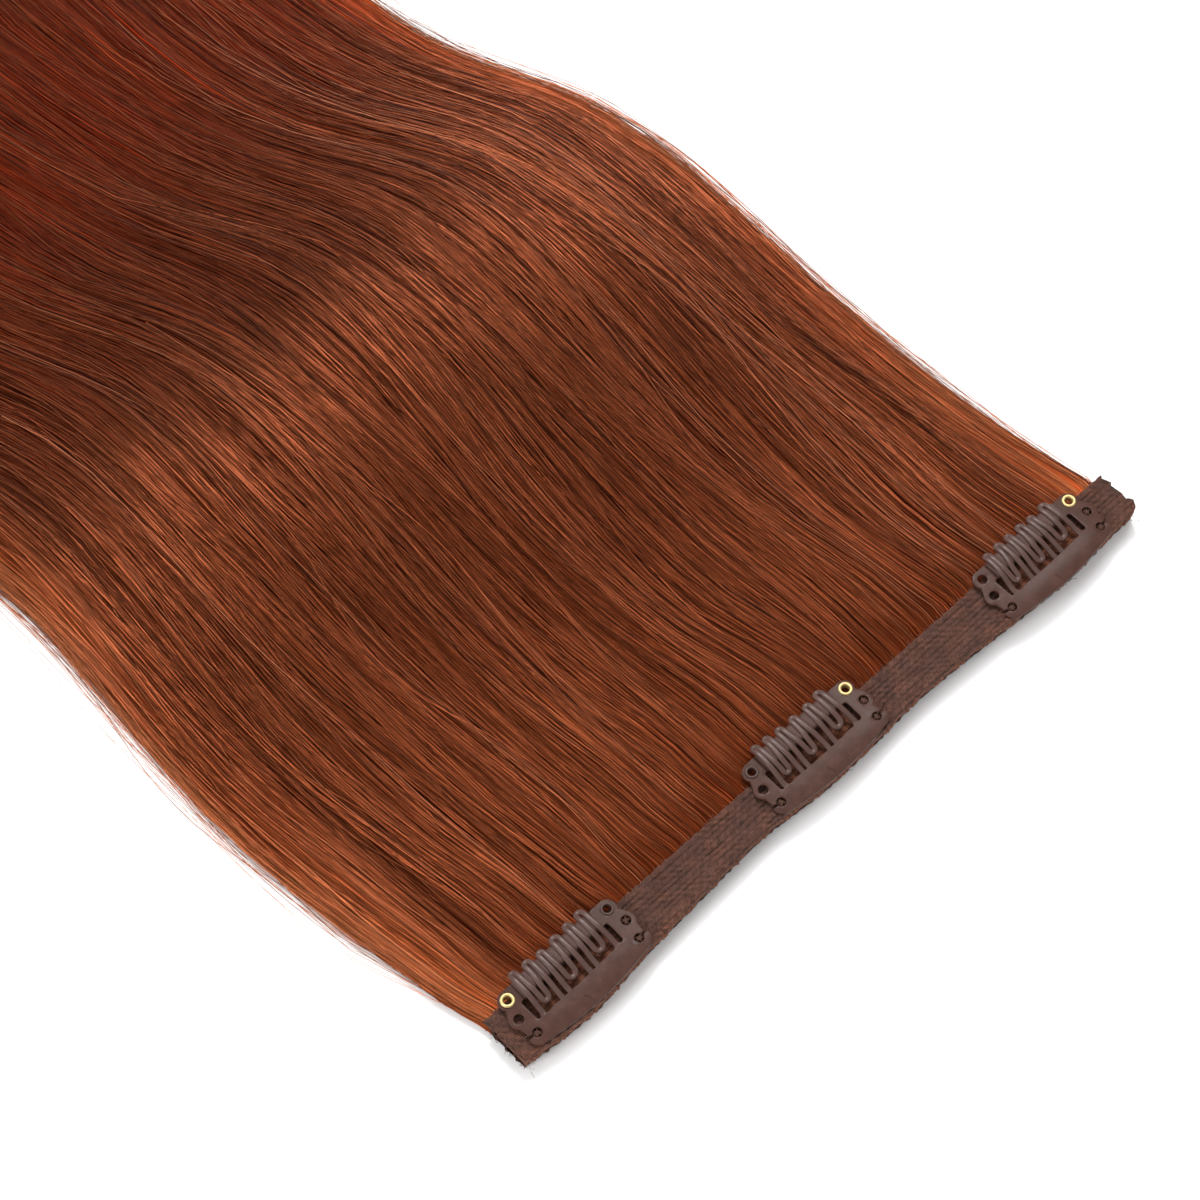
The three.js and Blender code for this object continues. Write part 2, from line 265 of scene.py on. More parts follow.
def hair_material(name, streak):
    m, nt, bsdf = material(name)
    tone = node(nt, "ShaderNodeAttribute", attribute_name="tone")
    flow = node(nt, "ShaderNodeAttribute", attribute_name="flow")
    fine = node(nt, "ShaderNodeMapping")
    fine.inputs["Scale"].default_value = (3.4, 0.10, 1.0)
    nt.links.new(flow.outputs["Vector"], fine.inputs["Vector"])
    n1 = node(nt, "ShaderNodeTexNoise", Scale=1.0, Detail=3.0, Roughness=0.6)
    nt.links.new(fine.outputs["Vector"], n1.inputs["Vector"])
    broad = node(nt, "ShaderNodeMapping")
    broad.inputs["Scale"].default_value = (0.25, 0.02, 1.0)
    nt.links.new(flow.outputs["Vector"], broad.inputs["Vector"])
    n2 = node(nt, "ShaderNodeTexNoise", Scale=1.0, Detail=2.0, Roughness=0.5)
    nt.links.new(broad.outputs["Vector"], n2.inputs["Vector"])
    r1 = ramp(nt, [(0.30, (max(1 - streak * 1.25, 0.2),) * 3), (0.46, (0.98,) * 3), (0.60, (1.06,) * 3), (0.76, (1 + streak * 1.3,) * 3)])
    nt.links.new(n1.outputs["Fac"], r1.inputs["Fac"])
    r2 = ramp(nt, [(0.30, (0.86, 0.84, 0.82)), (0.70, (1.10, 1.12, 1.14))])
    nt.links.new(n2.outputs["Fac"], r2.inputs["Fac"])
    m1 = node(nt, "ShaderNodeMix", data_type="RGBA", blend_type="MULTIPLY")
    m1.inputs["Factor"].default_value = 1.0
    nt.links.new(tone.outputs["Color"], m1.inputs["A"])
    nt.links.new(r1.outputs["Color"], m1.inputs["B"])
    m2 = node(nt, "ShaderNodeMix", data_type="RGBA", blend_type="MULTIPLY")
    m2.inputs["Factor"].default_value = 1.0
    nt.links.new(m1.outputs["Result"], m2.inputs["A"])
    nt.links.new(r2.outputs["Color"], m2.inputs["B"])
    nt.links.new(m2.outputs["Result"], bsdf.inputs["Base Color"])
    rough = ramp(nt, [(0.3, (0.22,) * 3), (0.7, (0.31,) * 3)])
    nt.links.new(n1.outputs["Fac"], rough.inputs["Fac"])
    nt.links.new(rough.outputs["Color"], bsdf.inputs["Roughness"])
    along = node(nt, "ShaderNodeSeparateXYZ")
    nt.links.new(flow.outputs["Vector"], along.inputs["Vector"])
    shine = node(nt, "ShaderNodeMapRange")
    for key, value in (("From Min", 150.0), ("From Max", 212.0), ("To Min", 0.62), ("To Max", 0.34)):
        shine.inputs[key].default_value = value
    nt.links.new(along.outputs["Y"], shine.inputs["Value"])
    nt.links.new(shine.outputs["Result"], bsdf.inputs["Specular IOR Level"])
    bsdf.inputs["Specular Tint"].default_value = (1.0, 0.225, 0.07, 1.0)
    bump = node(nt, "ShaderNodeBump", Strength=0.5, Distance=0.00004)
    nt.links.new(n1.outputs["Fac"], bump.inputs["Height"])
    nt.links.new(bump.outputs["Normal"], bsdf.inputs["Normal"])
    return m


def lace_material(name):
    m, nt, bsdf = material(name)
    tone = node(nt, "ShaderNodeAttribute", attribute_name="tone")
    coord = node(nt, "ShaderNodeTexCoord")
    n1 = node(nt, "ShaderNodeTexNoise", Scale=5200.0, Detail=3.0, Roughness=0.65)
    nt.links.new(coord.outputs["Object"], n1.inputs["Vector"])
    n2 = node(nt, "ShaderNodeTexNoise", Scale=260.0, Detail=3.0, Roughness=0.6)
    nt.links.new(coord.outputs["Object"], n2.inputs["Vector"])
    r1 = ramp(nt, [(0.32, (0.68, 0.66, 0.66)), (0.68, (1.30, 1.30, 1.28))])
    nt.links.new(n1.outputs["Fac"], r1.inputs["Fac"])
    r2 = ramp(nt, [(0.35, (0.88, 0.90, 0.92)), (0.66, (1.12, 1.06, 1.02))])
    nt.links.new(n2.outputs["Fac"], r2.inputs["Fac"])
    m1 = node(nt, "ShaderNodeMix", data_type="RGBA", blend_type="MULTIPLY")
    m1.inputs["Factor"].default_value = 1.0
    nt.links.new(tone.outputs["Color"], m1.inputs["A"])
    nt.links.new(r1.outputs["Color"], m1.inputs["B"])
    m2 = node(nt, "ShaderNodeMix", data_type="RGBA", blend_type="MULTIPLY")
    m2.inputs["Factor"].default_value = 1.0
    nt.links.new(m1.outputs["Result"], m2.inputs["A"])
    nt.links.new(r2.outputs["Color"], m2.inputs["B"])
    nt.links.new(m2.outputs["Result"], bsdf.inputs["Base Color"])
    bsdf.inputs["Roughness"].default_value = 0.82
    bsdf.inputs["Sheen Weight"].default_value = 0.03
    bsdf.inputs["Sheen Roughness"].default_value = 0.5
    bsdf.inputs["Specular IOR Level"].default_value = 0.12
    bump = node(nt, "ShaderNodeBump", Strength=0.6, Distance=0.00012)
    nt.links.new(n1.outputs["Fac"], bump.inputs["Height"])
    nt.links.new(bump.outputs["Normal"], bsdf.inputs["Normal"])
    return m


def enamel_material(name, base, rough, shine=0.2):
    m, nt, bsdf = material(name)
    coord = node(nt, "ShaderNodeTexCoord")
    n1 = node(nt, "ShaderNodeTexNoise", Scale=420.0, Detail=4.0, Roughness=0.6)
    nt.links.new(coord.outputs["Object"], n1.inputs["Vector"])
    n2 = node(nt, "ShaderNodeTexNoise", Scale=4200.0, Detail=2.0, Roughness=0.5)
    nt.links.new(coord.outputs["Object"], n2.inputs["Vector"])
    dark = tuple(c * 0.86 for c in base)
    light = tuple(c * 1.12 for c in base)
    r1 = ramp(nt, [(0.35, dark), (0.65, light)])
    nt.links.new(n1.outputs["Fac"], r1.inputs["Fac"])
    nt.links.new(r1.outputs["Color"], bsdf.inputs["Base Color"])
    rr = ramp(nt, [(0.3, (rough - 0.05,) * 3), (0.7, (rough + 0.07,) * 3)])
    nt.links.new(n1.outputs["Fac"], rr.inputs["Fac"])
    nt.links.new(rr.outputs["Color"], bsdf.inputs["Roughness"])
    bsdf.inputs["Specular IOR Level"].default_value = shine
    bump = node(nt, "ShaderNodeBump", Strength=0.12, Distance=0.00004)
    nt.links.new(n2.outputs["Fac"], bump.inputs["Height"])
    nt.links.new(bump.outputs["Normal"], bsdf.inputs["Normal"])
    return m


def metal_material(name, base, rough):
    m, nt, bsdf = material(name)
    coord = node(nt, "ShaderNodeTexCoord")
    n1 = node(nt, "ShaderNodeTexNoise", Scale=1500.0, Detail=3.0, Roughness=0.6)
    nt.links.new(coord.outputs["Object"], n1.inputs["Vector"])
    r1 = ramp(nt, [(0.3, tuple(c * 0.82 for c in base)), (0.7, base)])
    nt.links.new(n1.outputs["Fac"], r1.inputs["Fac"])
    nt.links.new(r1.outputs["Color"], bsdf.inputs["Base Color"])
    rr = ramp(nt, [(0.3, (rough * 0.8,) * 3), (0.7, (rough * 1.3,) * 3)])
    nt.links.new(n1.outputs["Fac"], rr.inputs["Fac"])
    nt.links.new(rr.outputs["Color"], bsdf.inputs["Roughness"])
    bsdf.inputs["Metallic"].default_value = 0.8
    bump = node(nt, "ShaderNodeBump", Strength=0.1, Distance=0.00003)
    nt.links.new(n1.outputs["Fac"], bump.inputs["Height"])
    nt.links.new(bump.outputs["Normal"], bsdf.inputs["Normal"])
    return m


def thread_material(name, base):
    m, nt, bsdf = material(name)
    coord = node(nt, "ShaderNodeTexCoord")
    n1 = node(nt, "ShaderNodeTexNoise", Scale=3000.0, Detail=2.0, Roughness=0.6)
    nt.links.new(coord.outputs["Object"], n1.inputs["Vector"])
    r1 = ramp(nt, [(0.3, tuple(c * 0.7 for c in base)), (0.7, tuple(c * 1.25 for c in base))])
    nt.links.new(n1.outputs["Fac"], r1.inputs["Fac"])
    nt.links.new(r1.outputs["Color"], bsdf.inputs["Base Color"])
    bsdf.inputs["Roughness"].default_value = 0.6
    bsdf.inputs["Specular IOR Level"].default_value = 0.15
    bump = node(nt, "ShaderNodeBump", Strength=0.3, Distance=0.00004)
    nt.links.new(n1.outputs["Fac"], bump.inputs["Height"])
    nt.links.new(bump.outputs["Normal"], bsdf.inputs["Normal"])
    return m


MAT_HAIR = hair_material("hair", 0.56)
MAT_HAIR_BASE = hair_material("hair_under", 0.45)
MAT_LACE = lace_material("lace")
MAT_ROOTS = lace_material("hair_roots")
MAT_ENAMEL = enamel_material("clip_enamel", (0.060, 0.0275, 0.0205), 0.24, 0.085)
# the grip sleeve and the comb wire take lighter copies of the plate's brown enamel: painted light
MAT_SLEEVE = enamel_material("grip_sleeve", (0.078, 0.040, 0.0325), 0.46, 0.26)
MAT_WIRE = enamel_material("comb_wire_enamel", (0.072, 0.037, 0.030), 0.33, 0.27)
MAT_BRASS = metal_material("brass", (0.66, 0.50, 0.23), 0.46)
MAT_DARK = enamel_material("dark_eyelet", (0.055, 0.029, 0.023), 0.34)
MAT_THREAD = thread_material("thread", (0.066, 0.031, 0.021))
MAT_FUZZ = thread_material("lace_fuzz", (0.17, 0.085, 0.058))


# ------------------------------------------------------------------ hair shape
# y, left edge, right edge, height of the middle, height of the side edges
SECTIONS = np.array([
    (-0.2, -83.5, 87.2, 3.8, 3.0), (2.6, -84.3, 87.4, 4.9, 3.0), (3.4, -84.6, 87.2, 5.1, 3.0),
    (7, -85.6, 86.4, 5.5, 3.0), (12, -86.8, 85.4, 5.7, 3.0), (20, -88.2, 84.4, 5.7, 2.6),
    (32, -90.3, 83.0, 5.6, 2.2), (45, -92.0, 82.3, 5.8, 1.9), (58, -93.7, 82.1, 6.4, 1.8),
    (71, -94.4, 82.2, 7.7, 1.8), (84, -94.1, 82.6, 9.3, 1.8), (97, -93.5, 83.3, 11.0, 1.9),
    (110, -92.8, 83.4, 12.3, 2.0), (122, -92.2, 83.4, 13.0, 2.0), (134, -92.4, 82.6, 13.3, 1.9),
    (146, -93.0, 80.6, 12.8, 1.8), (158, -95.0, 76.4, 11.8, 1.7), (170, -98.6, 71.0, 10.7, 1.6),
    (182, -102.8, 66.6, 9.8, 1.6), (196, -107.0, 64.0, 8.9, 1.7), (212, -110.0, 62.6, 8.3, 1.8),
    (230, -111.8, 61.0, 8.0, 1.8), (250, -112.4, 59.4, 7.8, 1.7), (270, -111.6, 58.8, 7.4, 1.6),
    (290, -109.4, 59.0, 6.8, 1.5), (310, -106.0, 59.2, 5.9, 1.4), (328, -102.6, 58.2, 4.8, 1.4),
    (342, -99.4, 55.6, 3.5, 1.2), (355, -96.0, 51.4, 2.0, 1.0)])
YD = np.arange(-6.0, 372.0, 0.5)


def dense(column, sigma=3.0):
    v = np.interp(YD, SECTIONS[:, 0], SECTIONS[:, column])
    k = np.arange(-24, 25) * 0.5
    w = np.exp(-0.5 * (k / sigma) ** 2)
    w /= w.sum()
    out = np.convolve(np.pad(v, 24, mode="edge"), w, mode="valid")
    near = np.clip((YD - 4.0) / 8.0, 0, 1)      # the root end keeps its steps
    return v * (1 - near) + out * near


LEFT, RIGHT, TOP, EDGE = (dense(k) for k in (1, 2, 3, 4))
# the strands stay a little inside the outline where it stands highest
LEFT = LEFT + np.interp(YD, [8, 20, 90, 105, 135, 150], [0, 0.7, 0.7, 1.2, 1.2, 0.6])
RIGHT = RIGHT - np.interp(YD, [60, 85, 120, 135, 150, 165, 185, 205, 230], [0, 0.2, 0.3, 1.0, 1.0, 1.5, 1.0, 0.6, 0.3])
drift_a = waves(11, 7, (34, 110), (120, 300))   # how whole locks wander
drift_b = waves(12, 9, (9, 26), (80, 190))      # how small locks gather and part
relief_a = waves(13, 9, (10, 30), (70, 200))
relief_b = waves(14, 10, (3.2, 8), (50, 150))
tone_a = waves(15, 8, (7, 22), (60, 200))
tone_b = waves(16, 10, (1.6, 5.0), (40, 160))
hue = waves(17, 9, (2.0, 9.0), (60, 200))        # where the colour leans golden or red
HALF = 88.0

# how far strands run beside their even share of the width, in millimetres: y
# first, then one value for each share from -1 to 1
DRIFT = np.array([
    (0, 0.0, -0.5, -0.9, -1.2, -1.4, -1.5, -1.4, -1.2, -1.1, -0.9, -0.6, -0.3, 0.0),
    (6, 0.0, -1.4, -1.5, -1.8, -2.5, -2.8, -2.0, -1.0, -1.4, -1.9, -1.2, 0.3, 0.0),
    (12, 0.0, -0.8, -1.4, -1.8, -2.0, -1.9, -1.2, -0.9, -1.2, -1.6, -1.4, -0.9, 0.0),
    (18, 0.0, -0.7, -1.5, -1.8, -1.6, -1.3, -1.1, -0.9, -1.1, -1.2, -1.1, -1.1, 0.0),
    (24, 0.0, -0.7, -1.4, -1.6, -1.2, -0.9, -1.0, -1.1, -0.9, -0.6, -0.4, -0.5, 0.0),
    (32, 0.0, -0.4, -1.0, -1.2, -0.9, -0.7, -1.0, -1.4, -0.8, 0.2, 0.7, 0.4, 0.0),
    (42, 0.0, -0.2, -0.4, -0.6, -0.6, -0.7, -1.0, -1.2, -0.5, 0.7, 1.3, 0.9, 0.0),
    (52, 0.0, 0.3, 0.3, 0.1, -0.1, -0.3, -0.7, -0.6, 0.2, 1.2, 1.3, 0.8, 0.0),
    (62, 0.0, 0.6, 0.6, 0.5, 0.2, 0.1, -0.2, 0.0, 0.8, 1.3, 1.3, 0.7, 0.0),
    (72, 0.0, 0.4, 0.5, 0.5, 0.5, 0.4, 0.3, 0.6, 1.2, 1.6, 1.2, 0.6, 0.0),
    (82, 0.0, 0.1, 0.3, 0.4, 0.5, 0.6, 0.7, 0.9, 1.3, 1.4, 1.0, 0.6, 0.0),
    (92, 0.0, -0.1, 0.0, 0.2, 0.4, 0.6, 0.8, 1.1, 1.2, 1.1, 0.8, 0.6, 0.0),
    (102, 0.0, -0.3, -0.4, -0.2, 0.0, 0.4, 0.7, 1.2, 1.1, 0.8, 0.6, 0.4, 0.0),
    (112, 0.0, -0.5, -0.8, -0.7, -0.4, 0.2, 0.8, 1.1, 1.1, 0.7, 0.5, 0.2, 0.0),
    (122, 0.0, -0.6, -1.0, -0.8, -0.5, 0.0, 0.6, 1.0, 1.1, 0.7, 0.3, 0.0, 0.0),
    (132, 0.0, -0.3, -0.5, -0.4, 0.0, 0.3, 0.8, 1.2, 1.4, 1.1, 0.6, 0.3, 0.0),
    (142, 0.0, 0.2, 0.3, 0.2, 0.4, 0.8, 1.2, 1.6, 1.8, 1.6, 1.2, 0.8, 0.0),
    (152, 0.0, 0.6, 1.1, 1.3, 1.2, 1.4, 1.9, 2.1, 2.0, 1.8, 1.6, 1.1, 0.0),
    (162, 0.0, 1.2, 2.0, 2.1, 1.9, 2.2, 2.4, 2.2, 1.8, 1.6, 1.4, 0.9, 0.0),
    (172, 0.0, 1.0, 1.8, 2.2, 2.1, 1.9, 2.0, 1.4, 0.9, 0.7, 0.6, 0.2, 0.0),
    (182, 0.0, 0.7, 1.4, 1.8, 1.9, 1.4, 1.0, 0.6, 0.1, -0.1, -0.2, -0.2, 0.0),
    (192, 0.0, 0.8, 1.4, 1.9, 1.9, 1.1, 0.3, -0.2, -0.6, -0.9, -1.0, -0.7, 0.0),
    (202, 0.0, 0.5, 1.0, 1.4, 1.6, 1.3, 0.2, -0.6, -1.2, -1.6, -1.7, -1.4, 0.0),
    (212, 0.0, 0.2, 0.4, 0.4, 0.3, 0.1, -0.4, -1.0, -1.6, -2.0, -2.1, -1.3, 0.0),
    (222, 0.0, 0.0, 0.0, 0.0, -0.2, -0.4, -0.8, -1.3, -1.8, -2.0, -1.7, -0.9, 0.0),
    (232, 0.0, 0.0, -0.1, -0.3, -0.5, -0.8, -1.2, -1.6, -1.7, -1.9, -1.5, -0.8, 0.0),
    (242, 0.0, 0.0, -0.1, -0.3, -0.5, -0.7, -1.1, -1.4, -1.6, -1.4, -1.0, -0.5, 0.0),
    (320, 0.0, 0.0, 0.0, 0.0, 0.0, 0.0, 0.0, 0.0, 0.0, 0.0, 0.0, 0.0, 0.0),
])


def dense_drift():
    rows = np.stack([np.interp(YD, DRIFT[:, 0], DRIFT[:, k + 1]) for k in range(13)], 1)
    fine = np.stack([np.interp(np.linspace(0, 12, 97), np.arange(13), r) for r in rows])
    for axis, sigma in ((0, 8.0), (1, 4.0)):
        k = np.arange(-24, 25)
        w = np.exp(-0.5 * (k / sigma) ** 2)
        w /= w.sum()
        fine = np.apply_along_axis(lambda v: np.convolve(np.pad(v, 24, mode="edge"), w, mode="valid"), axis, fine)
    return fine


DRIFT_FINE = dense_drift()


def drift(c, y):
    u = np.clip((np.clip(c, -1, 1) + 1) * 48, 0, 95.999)
    v = np.clip((y - YD[0]) / 0.5, 0, len(YD) - 1.001)
    i, j = u.astype(int), v.astype(int)
    a, b = u - i, v - j
    t = DRIFT_FINE
    d = (t[j, i] * (1 - a) * (1 - b) + t[j, i + 1] * a * (1 - b)
         + t[j + 1, i] * (1 - a) * b + t[j + 1, i + 1] * a * b)
    return d * np.clip((1 - np.abs(c)) / 0.08, 0, 1)


# where locks are drawn together at the sewn edge: place along the band, how
# far they are drawn in (a share), half width of the lock and how far down it runs
TUFTS = ((-79.0, 0.40, 6.0, 13.0), (-60.0, 0.30, 5.0, 10.0), (-47.0, 0.52, 7.0, 16.0), (-30.0, 0.34, 5.5, 10.0),
         (-13.5, 0.42, 6.0, 13.0), (3.0, 0.28, 5.0, 9.0), (19.5, 0.60, 6.5, 18.0), (34.0, 0.36, 5.5, 11.0),
         (48.0, 0.48, 6.5, 14.0), (63.0, 0.28, 5.0, 10.0), (79.0, 0.38, 5.5, 13.0))


def tuft_pull(x, c, y):
    out = np.zeros(np.broadcast(x, y).shape)
    for at, share, wide, reach in TUFTS:
        d = x - at
        out -= share * d * np.exp(-(d / wide) ** 2) * np.exp(-np.maximum(y, 0) / reach)
    return out * np.clip((1 - np.abs(c)) / 0.05, 0, 1)


def hair_point(c, y):
    """Plan position and top height of the hair at share c across (-1 to 1) and y along."""
    lo, hi = np.interp(y, YD, LEFT), np.interp(y, YD, RIGHT)
    mid, half = (lo + hi) / 2, (hi - lo) / 2
    u = c * HALF
    calm = 0.14 + 0.86 * (1 - np.clip(np.abs(c), 0, 1) ** 6)
    grow = np.clip(y / 38.0, 0, 1)
    grow = grow * grow * (3 - 2 * grow)
    x = mid + c * half + calm * grow * (1.7 * drift_a(u, y) + 0.75 * drift_b(u, y))
    x = x + drift(np.broadcast_to(c, np.shape(x)), np.broadcast_to(y, np.shape(x)))
    out = 1 - (1 - np.clip(y / 20.0, 0, 1)) ** 2
    x = x + 2.1 * out * np.clip((1 - np.abs(c)) / 0.28, 0, 1)
    x = x + 0.7 * tuft_pull(x, c, y)
    crown = np.maximum(1 - np.clip(np.abs(c), 0, 1) ** 3.4, 0)
    e, t = np.interp(y, YD, EDGE), np.interp(y, YD, TOP)
    relief = np.clip((y - 3) / 14.0, 0, 1) * (0.30 * relief_a(u, y) + 0.10 * relief_b(u, y))
    return x, e + (t - e) * crown + relief * (0.3 + 0.7 * crown)


BASE = np.array((0.0245, 0.0041, 0.0010))


def shade(c, y):
    """How light the hair is at a place, apart from single strands: the run table along y is painted light and shade
    (lightest at the root where the lace shades it, darkest near y 90, lighter over the crest near y 125 and again
    towards the tips), times a little random tone.
    """
    u = c * HALF
    # run: painted light and shade along the hair
    run = np.interp(y, [0, 3, 6, 12, 28, 58, 90, 125, 150, 165, 185, 205, 235, 300], [4.2, 3.4, 2.3, 1.5, 1.38, 0.97, 0.54, 1.28, 1.15, 1.35, 1.75, 2.80, 3.00, 1.90])
    return run * (1.0 + 0.08 * tone_a(u, y) + 0.06 * tone_b(u, y))


def dye_and_painted_light_colour(c, y):
    """Colour of the hair at a place beside BASE, partly dye and partly painted light: the table along y keeps it paler
    at the root, over the crest band at y 112 to 140 (painted highlight colour) and near the ends, and redder between
    these and towards the tips, most at y 205 to 235; hue adds random golden or red leanings; the thin sides are lighter
    and more orange, a painted glow of light through thin hair.
    """
    h = hue(c * HALF, y)[..., None]
    # the y table: paler over the crest band, a painted highlight colour, and redder between the bright bands
    ys = [40, 60, 95, 112, 140, 155, 175, 205, 235, 300]
    t = np.stack([np.ones_like(y), np.interp(y, ys, [1, 0.72, 0.64, 0.95, 0.95, 0.66, 0.66, 0.45, 0.45, 0.85]),
                  np.interp(y, ys, [1, 0.55, 0.45, 0.90, 0.90, 0.45, 0.45, 0.20, 0.20, 0.80])], -1)
    # e: thin sides lighter and more orange, a painted glow of light through thin hair
    e = np.clip((np.abs(c) - 0.85) / 0.12, 0, 1)[..., None]
    e = e * e * (3 - 2 * e) * np.interp(y, [150, 220, 290], [1.0, 0.55, 0.25])[..., None]
    return t * (1 + h * np.array([0.02, 0.14, 0.26])) * (1 + e * np.array([3.6, 5.2, 6.5]))


def make_hair_base():
    c = np.sin(np.linspace(-1, 1, 91) * np.pi / 2) * 0.35 + np.linspace(-1, 1, 91) * 0.65
    y = np.concatenate([np.linspace(-0.2, 30, 20), np.linspace(32, 230, 76), np.linspace(236, 346, 18)])
    C, Y = np.meshgrid(c * 0.968, y, indexing="ij")
    ragged = np.clip(np.random.default_rng(41).normal(0, 1.0, len(c)), -2.2, 2.2)
    Y = Y + ragged[:, None] * np.clip((Y - 300) / 46, 0, 1) ** 2
    x, z = hair_point(C, Y)
    sink = 0.9 * np.clip(np.interp(Y, [0, 250, 338], [0.8, 1.0, 0.9]), 0, 1)
    z = np.maximum(z - sink, 0.7)
    top = np.stack([x, Y, z], -1)
    floor = top.copy()
    floor[..., 2] = np.minimum(np.where(Y < 3.3, 1.4, 0.12), z - 0.1)
    nu, nv = C.shape
    m = nu * nv
    low = grid_quads(nu, nv, m)[:, ::-1]
    i, j = np.arange(nu - 1) * nv, np.arange(nv - 1)
    rims = [np.stack([i, m + i, m + i + nv, i + nv], -1),
            np.stack([i + 2 * nv - 1, m + i + 2 * nv - 1, m + i + nv - 1, i + nv - 1], -1),
            np.stack([j + 1, m + j + 1, m + j, j], -1),
            np.stack([m - nv + j, 2 * m - nv + j, 2 * m - nv + j + 1, m - nv + j + 1], -1)]
    obj = new_mesh("hair_base", np.concatenate([top.reshape(-1, 3), floor.reshape(-1, 3)]),
                   np.concatenate([grid_quads(nu, nv), low] + [q[:, ::-1] for q in rims]))
    # the under sheet takes 0.42 of the strand colour: painted shade deep in the bundle, seen between the strands
    col = BASE[None, None] * (0.42 * shade(C, Y))[..., None] * dye_and_painted_light_colour(C, Y)
    set_color(obj, "tone", np.tile(col.reshape(-1, 3), (2, 1)))
    flow = np.stack([C * HALF, Y, np.zeros_like(Y)], -1).reshape(-1, 3)
    set_vector(obj, "flow", np.tile(flow, (2, 1)))
    obj.data.materials.append(MAT_HAIR_BASE)
    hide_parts("hair_panel")
    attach(obj, "weft")
    return obj


STATIONS = np.array([-1.2, 2, 5.5, 10, 16, 24, 34, 46, 59, 72, 84, 94, 103, 111, 118, 125, 132, 139, 146,
                     154, 162, 171, 181, 193, 207, 225, 248, 275, 303, 330, 355.0])


def ribbons(name, P, W, roll, tone, ids, mat=None, body="weft"):
    """Flat strands: centre lines (n, m, 3), widths (n, m), a roll each, and their colours."""
    n, m = P.shape[:2]
    T = unit(np.gradient(P, axis=1))
    side = unit(np.cross(T, np.array([0.0, 0.0, 1.0])))
    nrm = np.cross(side, T)
    s = side * np.cos(roll)[:, None, None] + nrm * np.sin(roll)[:, None, None]
    V = np.stack([P + s * W[..., None] / 2, P - s * W[..., None] / 2], 2)
    base = (np.arange(n)[:, None] * m + np.arange(m - 1)[None]) * 2
    q = np.stack([base, base + 2, base + 3, base + 1], -1).reshape(-1, 4)
    obj = new_mesh(name, V.reshape(-1, 3), q[:, ::-1])
    set_color(obj, "tone", np.repeat(tone.reshape(-1, 3), 2, 0))
    f = np.zeros((n, m, 2, 3))
    f[..., 0] = ids[:, None, None] * 7.3 + np.stack([W, -W], -1)
    f[..., 1] = P[..., 1:2]
    set_vector(obj, "flow", f.reshape(-1, 3))
    obj.data.materials.append(mat or MAT_HAIR)
    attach(obj, body)
    return obj


def strand_lines(rng, c, end, depth, sway=1.0, side_low=None):
    """Centre lines of strands that follow the bundle at share c across."""
    n, m = len(c), len(STATIONS)
    share = (STATIONS - STATIONS[0]) / (STATIONS[-1] - STATIONS[0])
    y = STATIONS[0] + share[None] * (end[:, None] - STATIONS[0])
    far = np.clip(STATIONS - 230, 0, None)[None] * ((end[:, None] - 230) / (STATIONS[-1] - 230))
    y = np.where(end[:, None] > 280, np.minimum(STATIONS, 230)[None] + far, y)
    C = np.broadcast_to(c[:, None], (n, m))
    x, z = hair_point(C, y)
    a1, a2 = rng.uniform(0.15, 1.15, n) * sway, rng.uniform(0.05, 0.35, n) * sway
    l1, l2 = rng.uniform(90, 260, n), rng.uniform(36, 80, n)
    p1, p2 = rng.uniform(0, 6.28, n), rng.uniform(0, 6.28, n)
    grow = np.clip(y / 45.0, 0.05, 1)
    x = x + grow * (a1[:, None] * np.sin(6.283 * y / l1[:, None] + p1[:, None])
                    + a2[:, None] * np.sin(6.283 * y / l2[:, None] + p2[:, None]))
    dz = rng.uniform(0.05, 0.32, n)[:, None] * np.sin(6.283 * y / rng.uniform(60, 180, n)[:, None] + p2[:, None])
    thin = np.clip(np.interp(y, [0, 230, 355], [1, 1, 0.5]), 0, 1)
    z = z - depth[:, None] * thin + dz * grow
    if side_low is not None:
        z = z * side_low[:, None]
    z = np.maximum(z, 0.12)
    return np.stack([x, y, z], -1)


def make_strands():
    rng = np.random.default_rng(2024)
    groups, per = 4, 2000
    for g in range(groups):
        c = rng.uniform(-1, 1, per)
        c = np.sign(c) * np.abs(c) ** 0.97 * 0.992
        depth = 1.5 * rng.random(per) ** 1.35 - 0.12
        end = np.where(rng.random(per) < 0.80, np.clip(rng.normal(351, 3.2, per), 340, 356.5), rng.uniform(285, 345, per))
        P = strand_lines(rng, c, end, depth)
        m = P.shape[1]
        w0 = rng.choice([0.08, 0.11, 0.15, 0.21], per, p=[0.30, 0.36, 0.25, 0.09])
        taper = np.ones((per, m))
        taper[:, -1] = 0.15
        taper[:, -2] = 0.85
        W = w0[:, None] * taper
        roll = rng.normal(0, 0.27, per)
        # strands lying deeper in the bundle are darker: painted shade between the strands
        k = np.exp(rng.normal(0, 0.42, per)) * np.clip(1.10 - 0.34 * depth, 0.4, 1.15)
        dark = rng.random(per) < 0.12
        k = np.where(dark, k * 0.5, k)
        pale = rng.random(per) < 0.05
        k = np.where(pale, k * 1.5, k)
        warm = rng.normal(0, 0.09, per)
        light = np.clip(np.log(k), -1.2, 1.0)
        tint = np.stack([1 + warm - 0.03 * light, (1 - 0.6 * warm) * (1 + 0.22 * light), (1 - warm) * (1 + 0.60 * light)], -1)
        tone = BASE[None, None] * tint[:, None] * (k[:, None] * shade(c[:, None], P[..., 1]))[..., None] * dye_and_painted_light_colour(c[:, None] + 0 * P[..., 1], P[..., 1])
        ribbons(f"hair_strands_{g + 1}", P, W, roll, tone, rng.uniform(0, 500, per))


